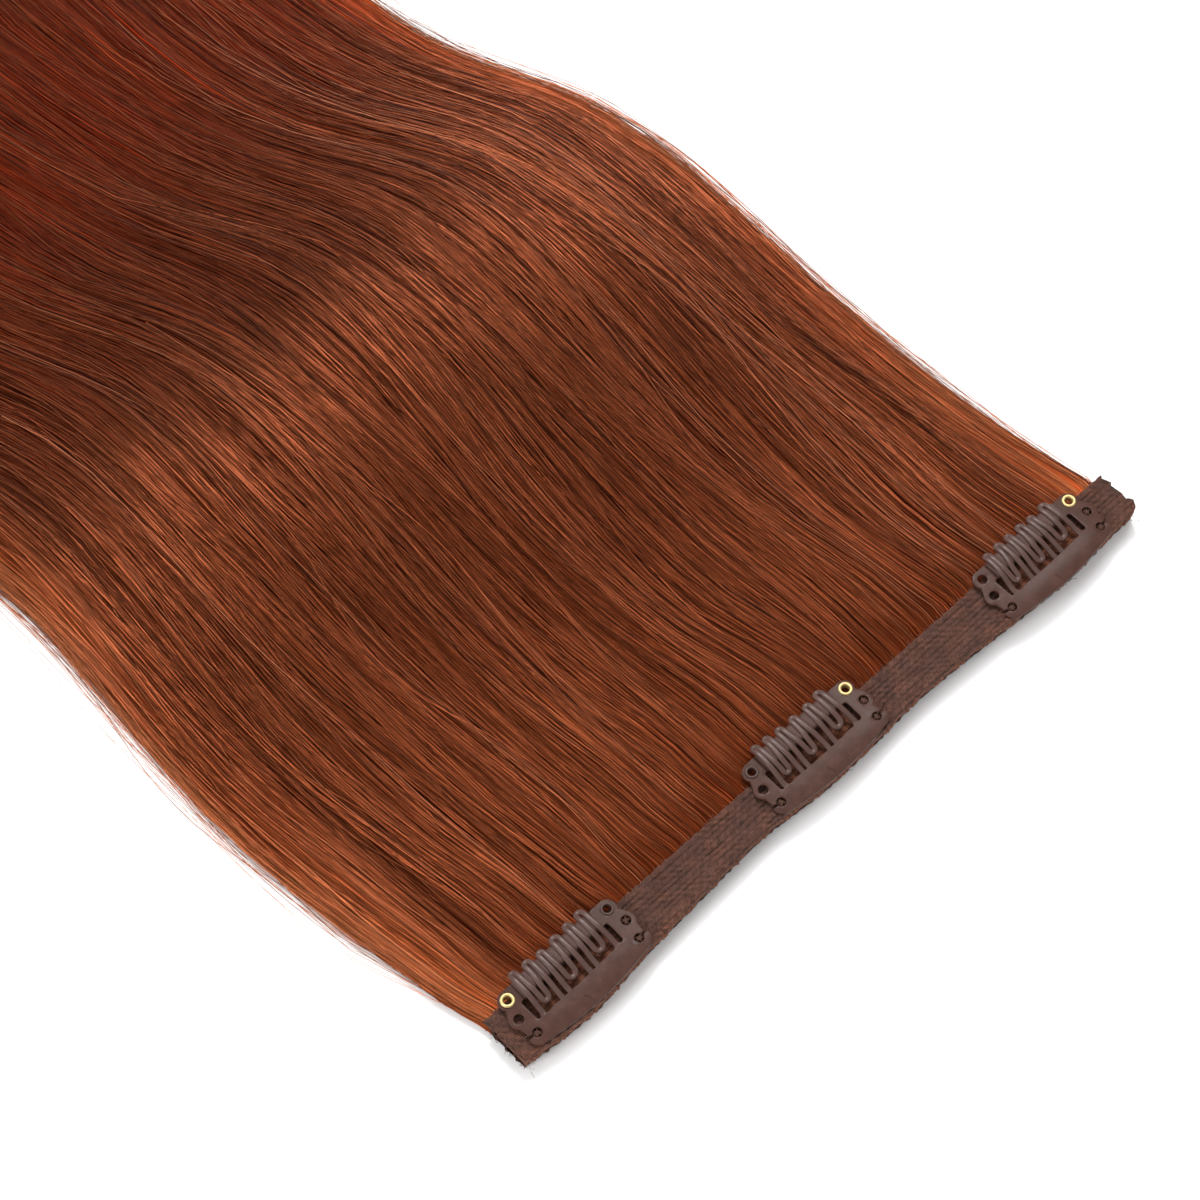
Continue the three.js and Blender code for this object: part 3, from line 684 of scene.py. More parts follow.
def make_edges():
    """Looser strands along both sides and a few that cross the surface."""
    rng = np.random.default_rng(77)
    n = 680
    sgn = np.where(rng.random(n) < 0.5, -1.0, 1.0)
    c = sgn * np.minimum(0.955 + np.abs(rng.normal(0, 0.023, n)), 1.003)
    end = rng.uniform(300, 356, n)
    P = strand_lines(rng, c, end, rng.uniform(0.0, 1.0, n), sway=0.9, side_low=rng.uniform(0.12, 0.9, n))
    W = np.full(P.shape[:2], 1.0) * rng.uniform(0.11, 0.22, n)[:, None]
    W[:, -1] *= 0.2
    k = np.exp(rng.normal(0.12, 0.2, n))
    # edge strands many times lighter and more orange than BASE: painted glow of light through the thin edges
    tone = BASE[None, None] * np.array([11.5, 19.0, 25.0]) * np.broadcast_to(k[:, None, None], P.shape[:2] + (1,))
    ribbons("hair_edge_strands", P, W, rng.normal(0, 0.6, n), tone, rng.uniform(0, 500, n))

    n = 260
    sgn = np.where(rng.random(n) < 0.55, -1.0, 1.0)
    c = sgn * rng.uniform(0.97, 1.0, n)
    end = rng.uniform(170, 352, n)
    P = strand_lines(rng, c, end, rng.uniform(-0.3, 1.2, n), sway=1.4, side_low=rng.uniform(0.25, 1.3, n))
    y = P[..., 1]
    at, wide = rng.uniform(10, 300, n)[:, None], rng.uniform(25, 110, n)[:, None]
    out = rng.gamma(1.6, 1.5, n)[:, None] * np.exp(-((y - at) / wide) ** 2)
    P[..., 0] += sgn[:, None] * np.minimum(out, 9.0) * np.clip(y / 30, 0, 1)
    W = np.full(P.shape[:2], 1.0) * rng.uniform(0.08, 0.13, n)[:, None]
    k = np.exp(rng.normal(-0.1, 0.3, n))
    # flyaways lighter and more orange than BASE: painted glow of light through thin hair
    tone = BASE[None, None] * np.array([9.5, 18.0, 30.0]) * np.broadcast_to(k[:, None, None], P.shape[:2] + (1,))
    ribbons("hair_flyaways", P, W, rng.normal(0, 0.6, n), tone, rng.uniform(0, 500, n))

    n = 440
    c = rng.uniform(-0.96, 0.96, n)
    end = rng.uniform(120, 352, n)
    P = strand_lines(rng, c, end, rng.uniform(-0.60, -0.05, n), sway=2.4)
    W = np.full(P.shape[:2], 1.0) * rng.uniform(0.06, 0.12, n)[:, None]
    # loose strands on top about five times lighter and paler than the hair: painted highlight
    k = np.exp(rng.normal(1.6, 0.35, n))
    pale = (rng.random(n) < 0.16)[:, None, None]
    k = k[:, None, None] * np.where(pale, 1.7, 0.9)
    tint = np.where(pale, np.array([1.0, 2.2, 4.6]), np.array([1.0, 1.6, 2.6]))
    tone = BASE[None, None] * tint * k * np.ones(P.shape[:2] + (1,))
    ribbons("hair_loose_strands", P, W, rng.normal(0, 0.5, n), tone, rng.uniform(0, 500, n))


# ------------------------------------------------------------------------ band
STATIONS_BAND = np.array([
    (-84.0, -11.0, 0.6), (-76.0, -11.9, 0.2), (-66.0, -12.4, 0.1), (-52.0, -10.7, 0.3), (-38.0, -10.0, 0.9),
    (-26.0, -9.3, 1.1), (-18.0, -8.9, 0.9), (-2.0, -10.2, 0.3), (12.0, -9.9, 0.5), (25.0, -9.1, 1.0),
    (38.0, -9.7, 1.2), (55.0, -10.7, 0.5), (68.0, -11.4, 0.1), (78.0, -10.7, 0.4), (88.5, -10.3, 0.9)])


def band_edge(x):
    xs = np.arange(-90, 95, 0.5)
    out = []
    for k in (1, 2):
        v = np.interp(xs, STATIONS_BAND[:, 0], STATIONS_BAND[:, k])
        w = np.exp(-0.5 * (np.arange(-12, 13) * 0.5 / 2.5) ** 2)
        w /= w.sum()
        out.append(np.interp(x, xs, np.convolve(np.pad(v, 12, mode="edge"), w, mode="valid")))
    return out


def band_lift(x, y):
    free, lift = band_edge(x)
    t = np.clip((-4.0 - y) / (-4.0 - free), 0, 1)
    return lift * t * t * (3 - 2 * t)


RIB = 0.42
LACE = np.array((0.074, 0.036, 0.027))
RUST = np.array((0.125, 0.050, 0.030))
dye = waves(31, 10, (4, 18), (3, 14))
wobble = waves(32, 9, (9, 40), (3, 9))
rough_edge = waves(33, 10, (0.9, 4.0), (5, 9))


speckle = waves(34, 14, (0.6, 2.2), (0.7, 2.6))
stitch = waves(35, 12, (3.0, 14.0), (1.5, 4.0))
# the lengthwise stitch lines of the band: where along y, half width and depth
GROOVES = ((-9.2, 0.15, 0.9), (-8.0, 0.14, 0.7), (-6.8, 0.15, 0.9), (-5.6, 0.14, 0.8), (-4.5, 0.16, 1.0), (-3.3, 0.14, 0.75), (-2.2, 0.15, 0.9), (-1.1, 0.16, 1.0))


def groove_at(x, gy):
    return gy + 0.15 * wobble(x, 0 * x + gy)


def lace_rows(x, free, hair_side):
    """Rows of mesh along the band, drawn close together at each stitch line."""
    rows = [free, free + 0.3, free + 0.8]
    last = groove_at(x, GROOVES[0][0]) - 0.34
    rows += [free + 0.8 + (last - free - 0.8) * t for t in (0.33, 0.67)]
    for k, (gy, w, d) in enumerate(GROOVES):
        at = groove_at(x, gy)
        rows += [at + o for o in (-0.34, -0.14, 0.0, 0.14, 0.34)]
    rows += [hair_side - 0.6, hair_side - 0.25, hair_side]
    out = np.stack(rows, -1)
    step = np.arange(out.shape[1]) * 0.015
    return np.maximum.accumulate(np.maximum(out, free[:, None]) - step, axis=1) + step


def lace_sheet(name, nu, nv, z1, z0, inset, end, ribs=0.05):
    x = np.linspace(-84.0, 88.5, nu)
    free = band_edge(x)[0] + inset + 0.10 * rough_edge(x, 0 * x)
    hair_side = end + 0.07 * rough_edge(x + 300, 0 * x)
    if nv is None:
        Y = lace_rows(x, free, hair_side)
        nv = Y.shape[1]
    else:
        Y = free[:, None] + (hair_side - free)[:, None] * np.linspace(0, 1, nv)
    X = np.repeat(x[:, None], nv, 1)
    free, hair_side = free[:, None], hair_side[:, None]
    torn = np.clip((np.abs(X - 2.25) - 85.0) / 1.2, 0, 1)
    X = X + torn * (0.35 * np.sin(Y * 2.1 + X) + 0.30 * speckle(X * 0, Y * 0.7)) + 0.06 * wobble(X, Y)
    z = z1 + band_lift(X, Y)
    phase = 2 * np.pi * (X / RIB) + 0.7 * wobble(X, Y)
    sel = np.clip(1 - (hair_side - Y) / 1.0, 0, 1) + np.clip(1 - (Y - free) / 0.7, 0, 1)
    z = z + ribs * np.cos(phase) * (1 - 0.5 * sel)
    z = z + 0.06 * sel * (1 + np.sin(2 * np.pi * (X / 0.62 + Y / 0.9)))
    groove = np.zeros_like(X)
    for gy, w, d in GROOVES:
        at = groove_at(x, gy)[:, None]
        dash = (1 - 0.75 * np.clip((-74.0 - X) / 3.0, 0, 1)) * np.clip(0.74 + 0.36 * stitch(X, 0 * X + gy * 1.7) + 0.14 * np.sin(2 * np.pi * X / 0.84 + gy * 5), 0.2, 1.0)
        groove += d * dash * np.exp(-((Y - at) / w) ** 2)
    z = z - 0.20 * groove
    z = z + 0.10 * dye(X, Y * 2) * 0.5
    low = np.clip((-8.5 - Y) / 3.0, 0, 1)
    mix = np.clip(0.06 + 0.17 * dye(X, Y) + 0.60 * low, 0, 1)[..., None]
    tone = LACE * (1 - mix) + RUST * mix
    # light: rib tops lighter and rib hollows darker in step with the rib relief, and stitch grooves darkened by up to
    # two thirds, all painted shade; dye, speckle and the fine cross lines are the lace's own mottle
    light = 1.0 + 0.40 * np.cos(phase) + 0.09 * dye(X * 1.7, Y) + 0.22 * speckle(X, Y) + 0.12 * np.sin(2 * np.pi * Y / 0.8 + 2.5 * wobble(X, Y * 2))
    light = np.maximum(light, 0.35) * (1 - 0.66 * np.clip(groove, 0, 1))
    tone = tone * light[..., None]
    # under each clip's window the lace is lighter and more orange: partly the hair colour seen there, partly painted
    # light against the shade of the clip
    for cx, cy in ((-65.42, 0.0), (1.15, 1.63), (65.42, 0.0)):
        inside = (np.clip((11.0 - np.abs(X - cx)) / 0.8, 0, 1) * np.clip((Y - cy + 8.0) / 0.6, 0, 1))[..., None]
        tone = tone * (1 - inside) + np.array((0.125, 0.045, 0.025)) * light[..., None] * inside
    top = np.stack([X, Y, z], -1)
    obj = closed_slab(name, top, z0 + band_lift(X, Y))
    # the slab's lower edges take 0.8 of the top colour: painted shade down its sides
    full = np.concatenate([tone.reshape(-1, 3), tone[:, [0, nv - 1]].reshape(-1, 3) * 0.8])
    set_color(obj, "tone", full)
    obj.data.materials.append(MAT_LACE)
    return obj


def make_band():
    up = lace_sheet("lace_band_upper", 1380, None, 5.25, 4.25, 0.2, 0.2, ribs=0.095)
    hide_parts("lace_upper")
    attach(up, "weft")
    low = lace_sheet("lace_band_lower", 700, 14, 1.1, 0.03, 0.6, 2.2, ribs=0.04)
    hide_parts("lace_lower")
    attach(low, "weft")
    # the sewn roots between the two strips: a rough wall of short folded hair
    nu, nv = 900, 14
    x = np.linspace(-83.6, 88.1, nu)
    V = np.linspace(0, 1, nv)
    X, Vv = np.meshgrid(x, V, indexing="ij")
    free, lift = band_edge(X)
    ang = Vv * np.pi
    bulge = 0.55 + 0.16 * rough_edge(X * 1.3 + 50, 0 * X) + 0.10 * waves(41, 8, (0.5, 1.6), (3, 9))(X, ang * 4)
    Yf = free + 0.62 - bulge * np.sin(ang) * (0.8 + 0.4 * np.sin(X * 0.9))
    Z = 1.35 + (3.95 - 1.35) * Vv + lift
    front = np.stack([X, Yf, Z], -1)
    back = front[:, [0, nv - 1]].copy()
    back[..., 1] = -0.7
    back[..., 2] = [1.4, 3.95]
    co = np.concatenate([front.reshape(-1, 3), back.reshape(-1, 3)])
    n, i = nu * nv, np.arange(nu - 1)
    b0, b1 = n + 2 * i, n + 2 * i + 1
    quads = [grid_quads(nu, nv)[:, ::1],
             np.stack([(i + 1) * nv + nv - 1, b1 + 2, b1, i * nv + nv - 1], -1),
             np.stack([i * nv, b0, b0 + 2, (i + 1) * nv], -1),
             np.stack([b0, b1, b1 + 2, b0 + 2], -1)]
    j = np.arange(nv)
    polys = [list(j) + [n + 1, n], [n + 2 * (nu - 1), n + 2 * (nu - 1) + 1] + list((nu - 1) * nv + j[::-1])]
    obj = new_mesh("weft_roots_visible", co, np.concatenate(quads), polys)
    # the wall is darker where it tucks under the strips and its hidden back is 0.6 of RUST: painted shade; the waves
    # are random tone
    t = 0.85 + 0.3 * waves(42, 10, (0.4, 1.4), (2, 9))(X, ang * 3) - 0.25 * np.abs(np.cos(ang))
    tone = np.array((0.21, 0.088, 0.055)) * np.clip(t, 0.45, 1.4)[..., None]
    set_color(obj, "tone", np.concatenate([tone.reshape(-1, 3), np.tile(RUST * 0.6, (2 * nu, 1))]))
    obj.data.materials.append(MAT_ROOTS)
    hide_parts("weft_roots")
    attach(obj, "weft")
    return up, low


def make_fuzz():
    """Short frayed threads at the band's cut ends and along its edges."""
    rng = np.random.default_rng(5)
    lines = []

    def tuft(x, y, z, dx, dy, dz, length, r):
        t = np.linspace(0, 1, 5)[:, None]
        d = unit(np.array([dx, dy, dz], float))
        bend = rng.normal(0, 0.35, 3) * length
        p = np.array([x, y, z]) + d * t * length + bend * t ** 2 * np.array([1, 1, 0.4])
        p[:, 2] = np.maximum(p[:, 2], 0.1)
        lines.append(dict(points=p, a=r, b=r, sides=3))

    for end, count in ((-84.0, 110), (88.5, 60)):
        s = -1 if end < 0 else 1
        for _ in range(count):
            y = rng.uniform(-12.2, 0.2)
            z = rng.choice([rng.uniform(0.2, 1.1), rng.uniform(4.2, 5.5)])
            tuft(end - s * rng.uniform(0, 1.2), y, z + float(band_lift(np.array([end]), np.array([y]))[0]),
                 s * rng.uniform(0.2, 1), rng.normal(0, 0.7), rng.normal(-0.1, 0.4), rng.uniform(0.25, 0.85), rng.uniform(0.03, 0.05))
    for _ in range(330):
        x = rng.uniform(-84, 88)
        free, lift = band_edge(np.array([x]))
        up = rng.random() < 0.6
        z = (rng.uniform(4.3, 5.4) if up else rng.uniform(0.2, 1.1)) + lift[0]
        tuft(x, free[0] + (0.5 if up else 1.2), z, rng.normal(0, 0.9), -rng.uniform(0.1, 1), rng.normal(0, 0.4), rng.uniform(0.25, 0.65), rng.uniform(0.025, 0.045))
    for _ in range(260):
        x = rng.uniform(-84, 88)
        tuft(x, 0.1, rng.uniform(4.9, 5.4), rng.normal(0, 0.5), rng.uniform(0.2, 1), rng.normal(0.1, 0.3), rng.uniform(0.3, 0.9), rng.uniform(0.03, 0.05))
    obj = joined_tubes("lace_fuzz", lines)
    obj.data.materials.append(MAT_FUZZ)
    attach(obj, "weft")
    return obj


# ----------------------------------------------------------------------- clips
CLIPS = [("clip_1", -65.42, 0.0, 1.09, -1, 1, 1), ("clip_2", 1.15, 1.63, 0.22, 1, -1, 2), ("clip_3", 65.42, 0.0, 0.66, 1, 0, 3)]
PLATE_TOP, PLATE_T = 7.0, 0.7
EYE_X, SIDE, HOOK, HOLE_R = 13.15, (14.14, -4.12), (13.43, -8.43), 1.0


def arc(cx, cy, r, a0, a1, n):
    a = np.radians(np.linspace(a0, a1, n))
    return np.stack([cx + r * np.cos(a), cy + r * np.sin(a)], -1)


def place(clip, p):
    """Points in a clip's own frame, put on the band."""
    _, x, y, yaw = clip[:4]
    c, s = math.cos(math.radians(yaw)), math.sin(math.radians(yaw))
    p = np.asarray(p, float)
    return np.stack([x + c * p[..., 0] - s * p[..., 1], y + s * p[..., 0] + c * p[..., 1], p[..., 2]], -1)


def bow(x, y):
    """How far the plate drops from its flat middle, towards its ends and its outer edge."""
    return 0.016 * np.maximum(np.abs(x) - 7.5, 0) ** 1.6 + 0.020 * np.maximum(-y - 8.0, 0) ** 2


def plate_outline(seed):
    r = np.random.default_rng(seed)
    hx, hy = HOOK

    def end(sign):
        j = r.normal(0, 0.07, 6)
        p = [np.array([[13.6, -10.85]]), arc(hx + 0.25, hy - 0.35 + j[0] * 0.5, 2.05, -72, -8, 12),
             np.array([[hx + 2.22, hy + 0.02]]),
             arc(hx, hy, 0.95, -9, 20 - 360, 34), np.array([[hx + 1.7, hy + 0.55]]),
             arc(SIDE[0] + j[1], SIDE[1], 2.12, -52, 44, 20), arc(EYE_X, 0.0, 2.02 + j[2] * 0.5, -36, 90, 24),
             np.array([[10.6, 1.98], [10.5 if sign < 0 else 10.0, 1.85], [10.5 if sign < 0 else 10.0, 0.9]])]
        p = np.concatenate(p)
        return p * np.array([sign, 1.0])

    right, left = end(1), end(-1)
    t = np.linspace(0, 1, 30)[1:-1]
    a, b, m = np.array([-13.6, -10.85]), np.array([13.6, -10.85]), np.array([0.0, -13.3])
    low = (1 - t)[:, None] ** 2 * a + 2 * ((1 - t) * t)[:, None] * m + t[:, None] ** 2 * b
    outer = np.concatenate([right, left[::-1], low])
    holes = []
    for s in (-1, 1):
        holes.append(arc(s * EYE_X, 0, HOLE_R, 360, 15, 32))
        holes.append(arc(s * SIDE[0], SIDE[1], HOLE_R, 360, 15, 32))
    x = np.linspace(-11.0, 10.4, 30)
    bottom = np.stack([x, -7.0 + 0.35 * (x / 10) ** 2], -1)
    win = np.concatenate([
        arc(-11.2, -6.35, 0.42, 180, 330, 9), [[-10.75, -6.1], [-9.85, -6.2]],
        arc(-9.35, -6.55, 0.42, 180, 262, 5), bottom[5:-4], arc(8.15, -6.45, 0.45, -72, 0, 6),
        [[8.75, -6.0], [9.85, -5.9]], arc(10.42, -6.1, 0.60, 200, 360, 10),
        arc(10.52, -2.5, 0.5, 0, 110, 7), [[9.9, -2.05], [9.9, -1.1], [-10.3, -1.1], [-10.3, -2.05]],
        arc(-11.12, -2.5, 0.5, 80, 180, 6)])
    holes.append(win[::-1])
    return outer, holes


def make_plate(clip):
    outer, holes = plate_outline(60 + clip[6])
    cu = bpy.data.curves.new(clip[0] + "_outline", "CURVE")
    cu.dimensions = "2D"
    cu.fill_mode = "BOTH"
    bev = 0.11
    cu.extrude = PLATE_T / 2 - bev
    cu.bevel_depth = bev
    cu.bevel_resolution = 2
    cu.offset = -bev
    for pts in [outer] + holes:
        sp = cu.splines.new("POLY")
        sp.points.add(len(pts) - 1)
        sp.points.foreach_set("co", np.concatenate([pts, np.zeros((len(pts), 1)), np.ones((len(pts), 1))], 1).astype(np.float32).ravel())
        sp.use_cyclic_u = True
    tmp = bpy.data.objects.new("tmp", cu)
    scene.collection.objects.link(tmp)
    me = bpy.data.meshes.new_from_object(tmp.evaluated_get(bpy.context.evaluated_depsgraph_get()))
    bpy.data.objects.remove(tmp)
    bpy.data.curves.remove(cu)
    bm = bmesh.new()
    bm.from_mesh(me)
    bmesh.ops.remove_doubles(bm, verts=bm.verts, dist=1e-4)
    for x in np.arange(-16, 16.5, 1.25):
        bmesh.ops.bisect_plane(bm, geom=list(bm.verts) + list(bm.edges) + list(bm.faces), plane_co=(x, 0, 0), plane_no=(1, 0, 0))
    for y in np.arange(-12, 2.5, 1.5):
        bmesh.ops.bisect_plane(bm, geom=list(bm.verts) + list(bm.edges) + list(bm.faces), plane_co=(0, y, 0), plane_no=(0, 1, 0))
    bmesh.ops.recalc_face_normals(bm, faces=bm.faces)
    bm.to_mesh(me)
    bm.free()
    n = len(me.vertices)
    co = np.zeros(n * 3, np.float32)
    me.vertices.foreach_get("co", co)
    co = co.reshape(-1, 3).astype(float)
    co[:, 2] += PLATE_TOP - PLATE_T / 2 - bow(co[:, 0], co[:, 1])
    co = place(clip, co) * MM
    me.vertices.foreach_set("co", co.astype(np.float32).ravel())
    me.update()
    obj = bpy.data.objects.new(clip[0] + "_plate", me)
    scene.collection.objects.link(obj)
    me.shade_smooth()
    me.set_sharp_from_angle(angle=math.radians(50))
    me.materials.clear()
    me.materials.append(MAT_ENAMEL)
    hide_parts(clip[0] + "_frame")
    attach(obj, "weft")
    return obj


COMB_HEIGHT = np.array([(-8.0, 6.45), (-7.0, 6.48), (-6.5, 6.60), (-5.2, 6.98), (-3.8, 7.6), (-2.5, 8.12),
                        (-1.4, 8.3), (1.0, 8.3), (2.0, 8.12), (2.8, 7.72), (3.8, 7.0)])
# the bent wire of each clip, three stretches apiece: where it leaves the back
# bar; first tip, its outer edge and width between legs; the fold back, likewise;
# second tip; where it meets the bar again
COMBS = {
    "clip_1": [(-10.0, (-9.2, 3.5, 1.1), (-7.7, -5.7, 1.5), (-5.8, 3.3, 1.4), -5.3),
               (-3.4, (-2.6, 2.8, 1.15), (-0.9, -5.85, 2.0), (1.3, 3.2, 1.6), 2.1),
               (3.9, (4.8, 3.35, 1.1), (6.5, -5.7, 1.9), (8.2, 3.6, 1.5), 9.35)],
    "clip_2": [(-10.4, (-9.5, 3.7, 1.0), (-8.1, -5.5, 1.4), (-6.5, 3.5, 1.0), -5.8),
               (-4.1, (-3.4, 3.05, 1.3), (-1.35, -5.85, 1.5), (0.3, 2.95, 1.15), 1.6),
               (3.5, (4.2, 2.95, 1.3), (6.25, -5.5, 1.9), (7.85, 3.55, 1.5), 9.4)],
    "clip_3": [(-10.5, (-9.2, 3.4, 1.0), (-8.2, -5.6, 1.45), (-5.8, 3.5, 1.15), -5.5),
               (-3.8, (-2.8, 3.4, 1.0), (-1.3, -5.9, 1.5), (0.55, 3.4, 1.35), 1.4),
               (3.4, (3.65, 3.1, 1.05), (5.85, -5.6, 2.0), (7.6, 3.4, 1.6), 9.1)],
}


def unit_line(spec):
    root_a, tip_a, fold, tip_b, root_b = spec
    pts = []
    LEG = 0.5

    def straight(xa, ya, xb, yb):
        y = np.linspace(ya, yb, max(6, int(abs(ya - yb) / 0.35)))
        t = np.clip((ya - y) / (ya - yb) * 1.16 - 0.08, 0, 1)
        pts.append(np.stack([xa + (xb - xa) * t * t * (3 - 2 * t), y], -1))

    def turn(x, y, wide, up):
        a = np.radians(np.linspace(0, 180, 15)[1:-1])
        pts.append(np.stack([x - wide / 2 * np.cos(a), y + (1 if up else -1) * wide / 2 * np.sin(a)], -1))

    ya, yf, yb = tip_a[1] - LEG - tip_a[2] / 2, fold[1] + LEG + fold[2] / 2, tip_b[1] - LEG - tip_b[2] / 2
    straight(root_a, -7.4, tip_a[0] - tip_a[2] / 2, ya)
    turn(tip_a[0], ya, tip_a[2], True)
    straight(tip_a[0] + tip_a[2] / 2, ya, fold[0] - fold[2] / 2, yf)
    turn(fold[0], yf, fold[2], False)
    straight(fold[0] + fold[2] / 2, yf, tip_b[0] - tip_b[2] / 2, yb)
    turn(tip_b[0], yb, tip_b[2], True)
    straight(tip_b[0] + tip_b[2] / 2, yb, root_b, -7.4)
    p = np.concatenate(pts)
    for _ in range(2):
        p[1:-1] = (p[:-2] + 2 * p[1:-1] + p[2:]) / 4
    yy = np.linspace(-8, 4.2, 200)
    zz = np.interp(yy, COMB_HEIGHT[:, 0], COMB_HEIGHT[:, 1])
    w = np.exp(-0.5 * (np.arange(-14, 15) / 6.0) ** 2)
    zz = np.convolve(np.pad(zz, 14, mode="edge"), w / w.sum(), mode="valid")
    z = np.interp(p[:, 1], yy, zz)
    return np.concatenate([p, z[:, None]], 1)


def make_comb(clip):
    lines = [dict(points=place(clip, unit_line(spec)), a=0.57, b=0.36, sides=16, square=0.72)
             for spec in COMBS[clip[0]]]
    obj = joined_tubes(clip[0] + "_comb_legs", lines)
    obj.data.materials.append(MAT_WIRE)
    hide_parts(clip[0] + "_comb")
    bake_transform(obj)
    return obj


def make_sleeve(clip):
    x0, x1 = -10.55, 9.95
    n, sides = 410, 20
    x = np.linspace(x0, x1, n)
    a = np.arange(sides) * 2 * np.pi / sides
    rib = 0.05 * np.cos(2 * np.pi * x / 0.36)
    close = np.minimum(x - x0, x1 - x)
    rib = rib - 0.25 * np.clip(1 - close / 0.35, 0, 1) ** 2
    ay, az = 2.12 + rib, 1.50 + rib - 0.9 * np.clip(1 - close / 1.3, 0, 1) ** 2
    k = 0.42       # squarer than an ellipse
    cy = np.sign(np.cos(a)) * np.abs(np.cos(a)) ** k
    cz = np.sign(np.sin(a)) * np.abs(np.sin(a)) ** k
    outer = np.stack([np.broadcast_to(x[:, None], (n, sides)), -0.12 + ay[:, None] * cy, 6.72 + az[:, None] * cz], -1)
    m = 2
    xi = np.array([x0 + 0.02, x1 - 0.02])
    inner = np.stack([np.broadcast_to(xi[:, None], (m, sides)), np.broadcast_to(-0.12 + 1.5 * cy, (m, sides)), np.broadcast_to(6.72 + 0.58 * cz, (m, sides))], -1)
    co = np.concatenate([outer.reshape(-1, 3), inner.reshape(-1, 3)])
    i, j = np.arange(n - 1)[:, None], np.arange(sides)[None]
    kk = (j + 1) % sides
    q = [np.stack([i * sides + j, (i + 1) * sides + j, (i + 1) * sides + kk, i * sides + kk], -1).reshape(-1, 4)]
    o, j = n * sides, np.arange(sides)
    kk = (j + 1) % sides
    q.append(np.stack([o + j, o + kk, o + sides + kk, o + sides + j], -1))
    q.append(np.stack([j, kk, o + kk, o + j], -1))
    q.append(np.stack([(n - 1) * sides + kk, (n - 1) * sides + j, o + sides + j, o + sides + kk], -1))
    obj = new_mesh(clip[0] + "_grip_sleeve", place(clip, co), np.concatenate(q))
    obj.data.materials.append(MAT_SLEEVE)
    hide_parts(clip[0] + "_sleeve")
    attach(obj, "weft")
    return obj


def make_eyelet(clip, sign, name, node_name, flange, height, mat):
    drop = float(bow(np.array([EYE_X]), np.array([0.0]))[0])
    inner, barrel = 0.82, 0.95
    a = np.radians(np.linspace(180, 0, 13))
    mid, half = (inner + flange) / 2, (flange - inner) / 2
    prof = [(barrel, 5.95), (barrel, 7.03), (flange - 0.05, 7.03)]
    prof = [(inner, 5.95)] + [(mid + half * math.cos(t), 7.05 + height * math.sin(t)) for t in a][::1] + [(barrel, 7.03), (barrel, 5.95)]
    prof = np.array(prof)
    sides = 40
    ang = np.arange(sides) * 2 * np.pi / sides
    n = len(prof)
    co = np.stack([sign * EYE_X + prof[:, 0][:, None] * np.cos(ang), prof[:, 0][:, None] * np.sin(ang),
                   np.broadcast_to(prof[:, 1][:, None] - drop, (n, sides))], -1)
    i, j = np.arange(n)[:, None], np.arange(sides)[None]
    i2, k = (i + 1) % n, (j + 1) % sides
    q = np.stack([i * sides + j, i * sides + k, i2 * sides + k, i2 * sides + j], -1).reshape(-1, 4)
    obj = new_mesh(name, place(clip, co.reshape(-1, 3)), q[:, ::-1])
    bm = bmesh.new()
    bm.from_mesh(obj.data)
    bmesh.ops.recalc_face_normals(bm, faces=bm.faces)
    bm.to_mesh(obj.data)
    bm.free()
    obj.data.set_sharp_from_angle(angle=math.radians(55))
    obj.data.materials.append(mat)
    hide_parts(node_name)
    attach(obj, "weft")
    return obj


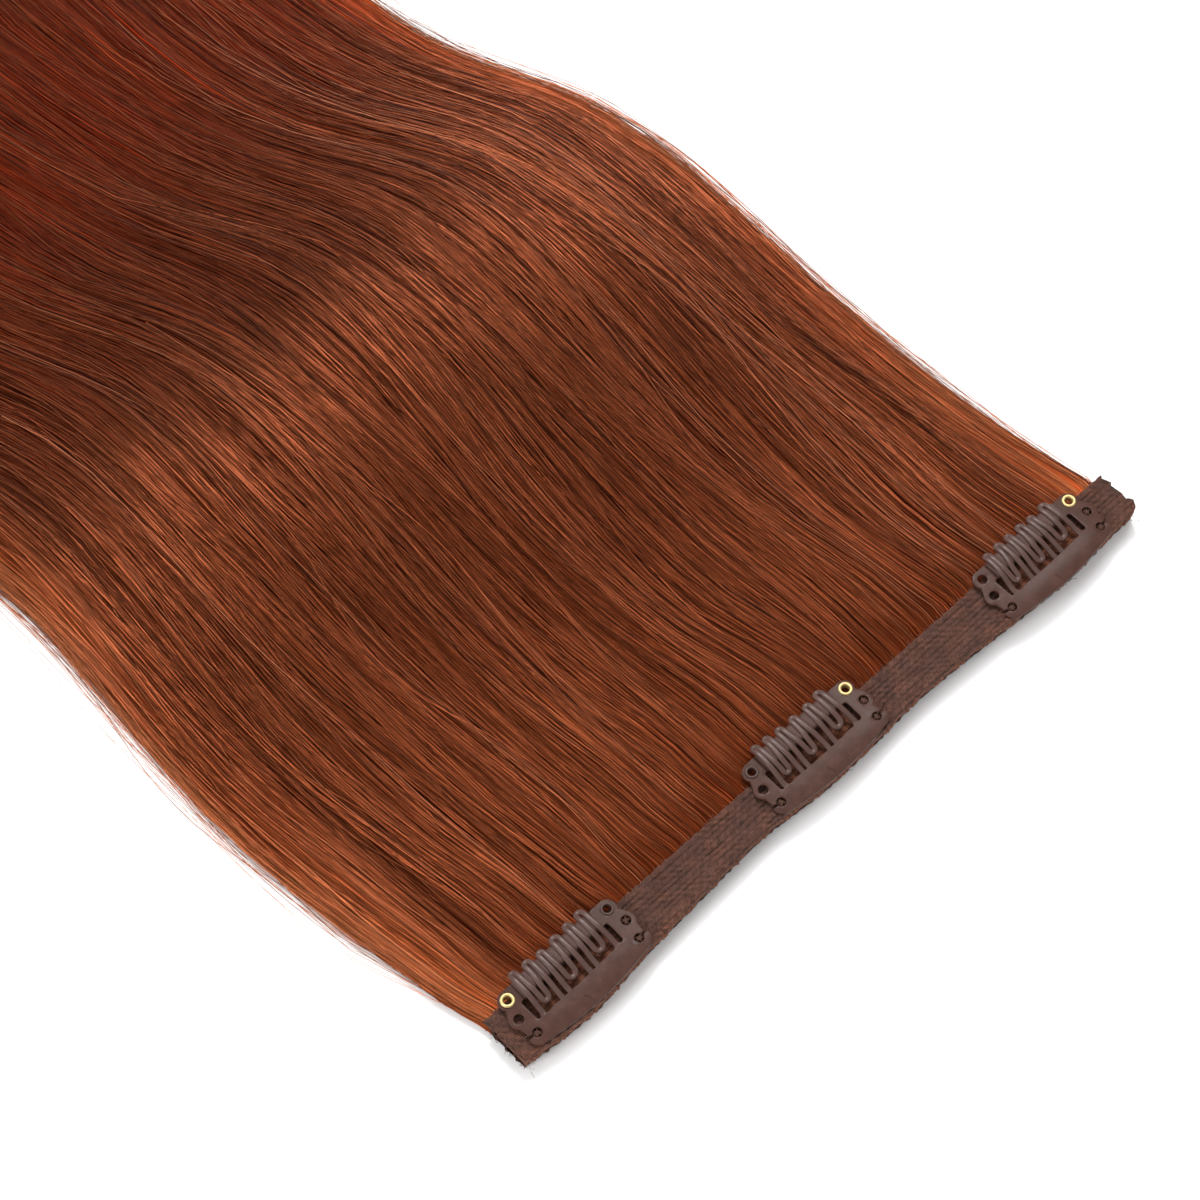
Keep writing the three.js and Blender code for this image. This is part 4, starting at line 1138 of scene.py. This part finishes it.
def make_threads(clip):
    r = np.random.default_rng(500 + clip[6])
    lines = []

    def thread(p, rad=0.075):
        p = np.asarray(p, float)
        d = np.concatenate([[0], np.cumsum(np.linalg.norm(np.diff(p, axis=0), axis=1))])
        t = np.linspace(0, d[-1], max(8, int(d[-1] / 0.25)))
        q = np.stack([np.interp(t, d, p[:, k]) for k in range(3)], -1)
        for _ in range(3):
            q[1:-1] = (q[:-2] + 2 * q[1:-1] + q[2:]) / 4
        q = q + r.normal(0, 0.012, q.shape)
        lines.append(dict(points=place(clip, q), a=rad, b=rad, sides=6))

    top = PLATE_TOP
    for s in (-1, 1):
        d = float(bow(np.array([14.0]), np.array([-8.4]))[0])
        for k in range(2):
            j = r.normal(0, 0.10, 4)
            thread([(s * (13.2 + j[0]), -8.5 + j[1], 6.2), (s * (13.7 + j[0]), -8.25 + j[1], top - d - 0.25),
                    (s * (14.9 + j[2]), -7.85 + 0.2 * k + j[3] * 0.4, top - d - 0.1),
                    (s * (16.3 + j[2]), -7.3 + 0.25 * k, top - d - 0.5), (s * (17.1 + j[2]), -7.1 + 0.25 * k, 5.35)], rad=0.06)
        for hx, hy in ((HOOK[0], HOOK[1]), (SIDE[0], SIDE[1])):
            if hx == SIDE[0] and s < 0:
                continue
            for k in range(7):
                t = k * 0.9 + r.uniform(0, 0.5)
                ux, uy = math.cos(t), math.sin(t)
                px, py = r.uniform(-0.25, 0.25, 2)
                thread([(s * (hx + px - 0.95 * ux), hy + py - 0.95 * uy, 5.9), (s * (hx + px - 0.5 * ux), hy + py - 0.5 * uy, 6.3),
                        (s * (hx + px), hy + py, 6.42), (s * (hx + px + 0.5 * ux), hy + py + 0.5 * uy, 6.3),
                        (s * (hx + px + 0.95 * ux), hy + py + 0.95 * uy, 5.9)], rad=0.16)
    x = r.uniform(-1.6, -0.9)
    thread([(x - 0.5, -9.5, top + 0.05), (x - 0.1, -10.3, top + 0.02), (x + 0.1, -11.0, top - 0.12),
            (x, -11.9, top - 0.28), (x + 0.05, -12.45, top - 0.7), (x + 0.2, -12.3, 5.2)], rad=0.045)
    x = r.uniform(0.2, 1.2)
    thread([(x, -12.0, 5.5), (x + 0.3, -12.3, 5.8), (x + 0.7, -12.7, 5.6), (x + 1.3, -12.8, 5.1)], rad=0.05)
    obj = joined_tubes(clip[0] + "_threads", lines)
    obj.data.materials.append(MAT_THREAD)
    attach(obj, "weft")
    return obj


def make_floor():
    me = bpy.data.meshes.new("floor")
    s = 6.0
    me.from_pydata([(-s, -s, 0), (s, -s, 0), (s, s, 0), (-s, s, 0)], [], [(0, 1, 2, 3)])
    obj = bpy.data.objects.new("floor", me)
    scene.collection.objects.link(obj)
    m, nt, bsdf = material("floor")
    bsdf.inputs["Base Color"].default_value = (0.93, 0.93, 0.93, 1)
    bsdf.inputs["Roughness"].default_value = 0.7
    bsdf.inputs["Specular IOR Level"].default_value = 0.1
    me.materials.append(m)
    return obj


make_floor()
make_hair_base()
make_strands()
make_edges()
upper, lower = make_band()
fuzz = make_fuzz()
for clip in CLIPS:
    make_plate(clip)
    make_comb(clip)
    make_sleeve(clip)
    make_eyelet(clip, clip[4], clip[0] + "_brass_ring", clip[0] + "_brass_eyelet", 1.5, 0.34, MAT_BRASS)
    if clip[5]:
        make_eyelet(clip, clip[5], clip[0] + "_brown_ring", clip[0] + "_brown_eyelet", 1.4, 0.22, MAT_DARK)
    make_threads(clip)
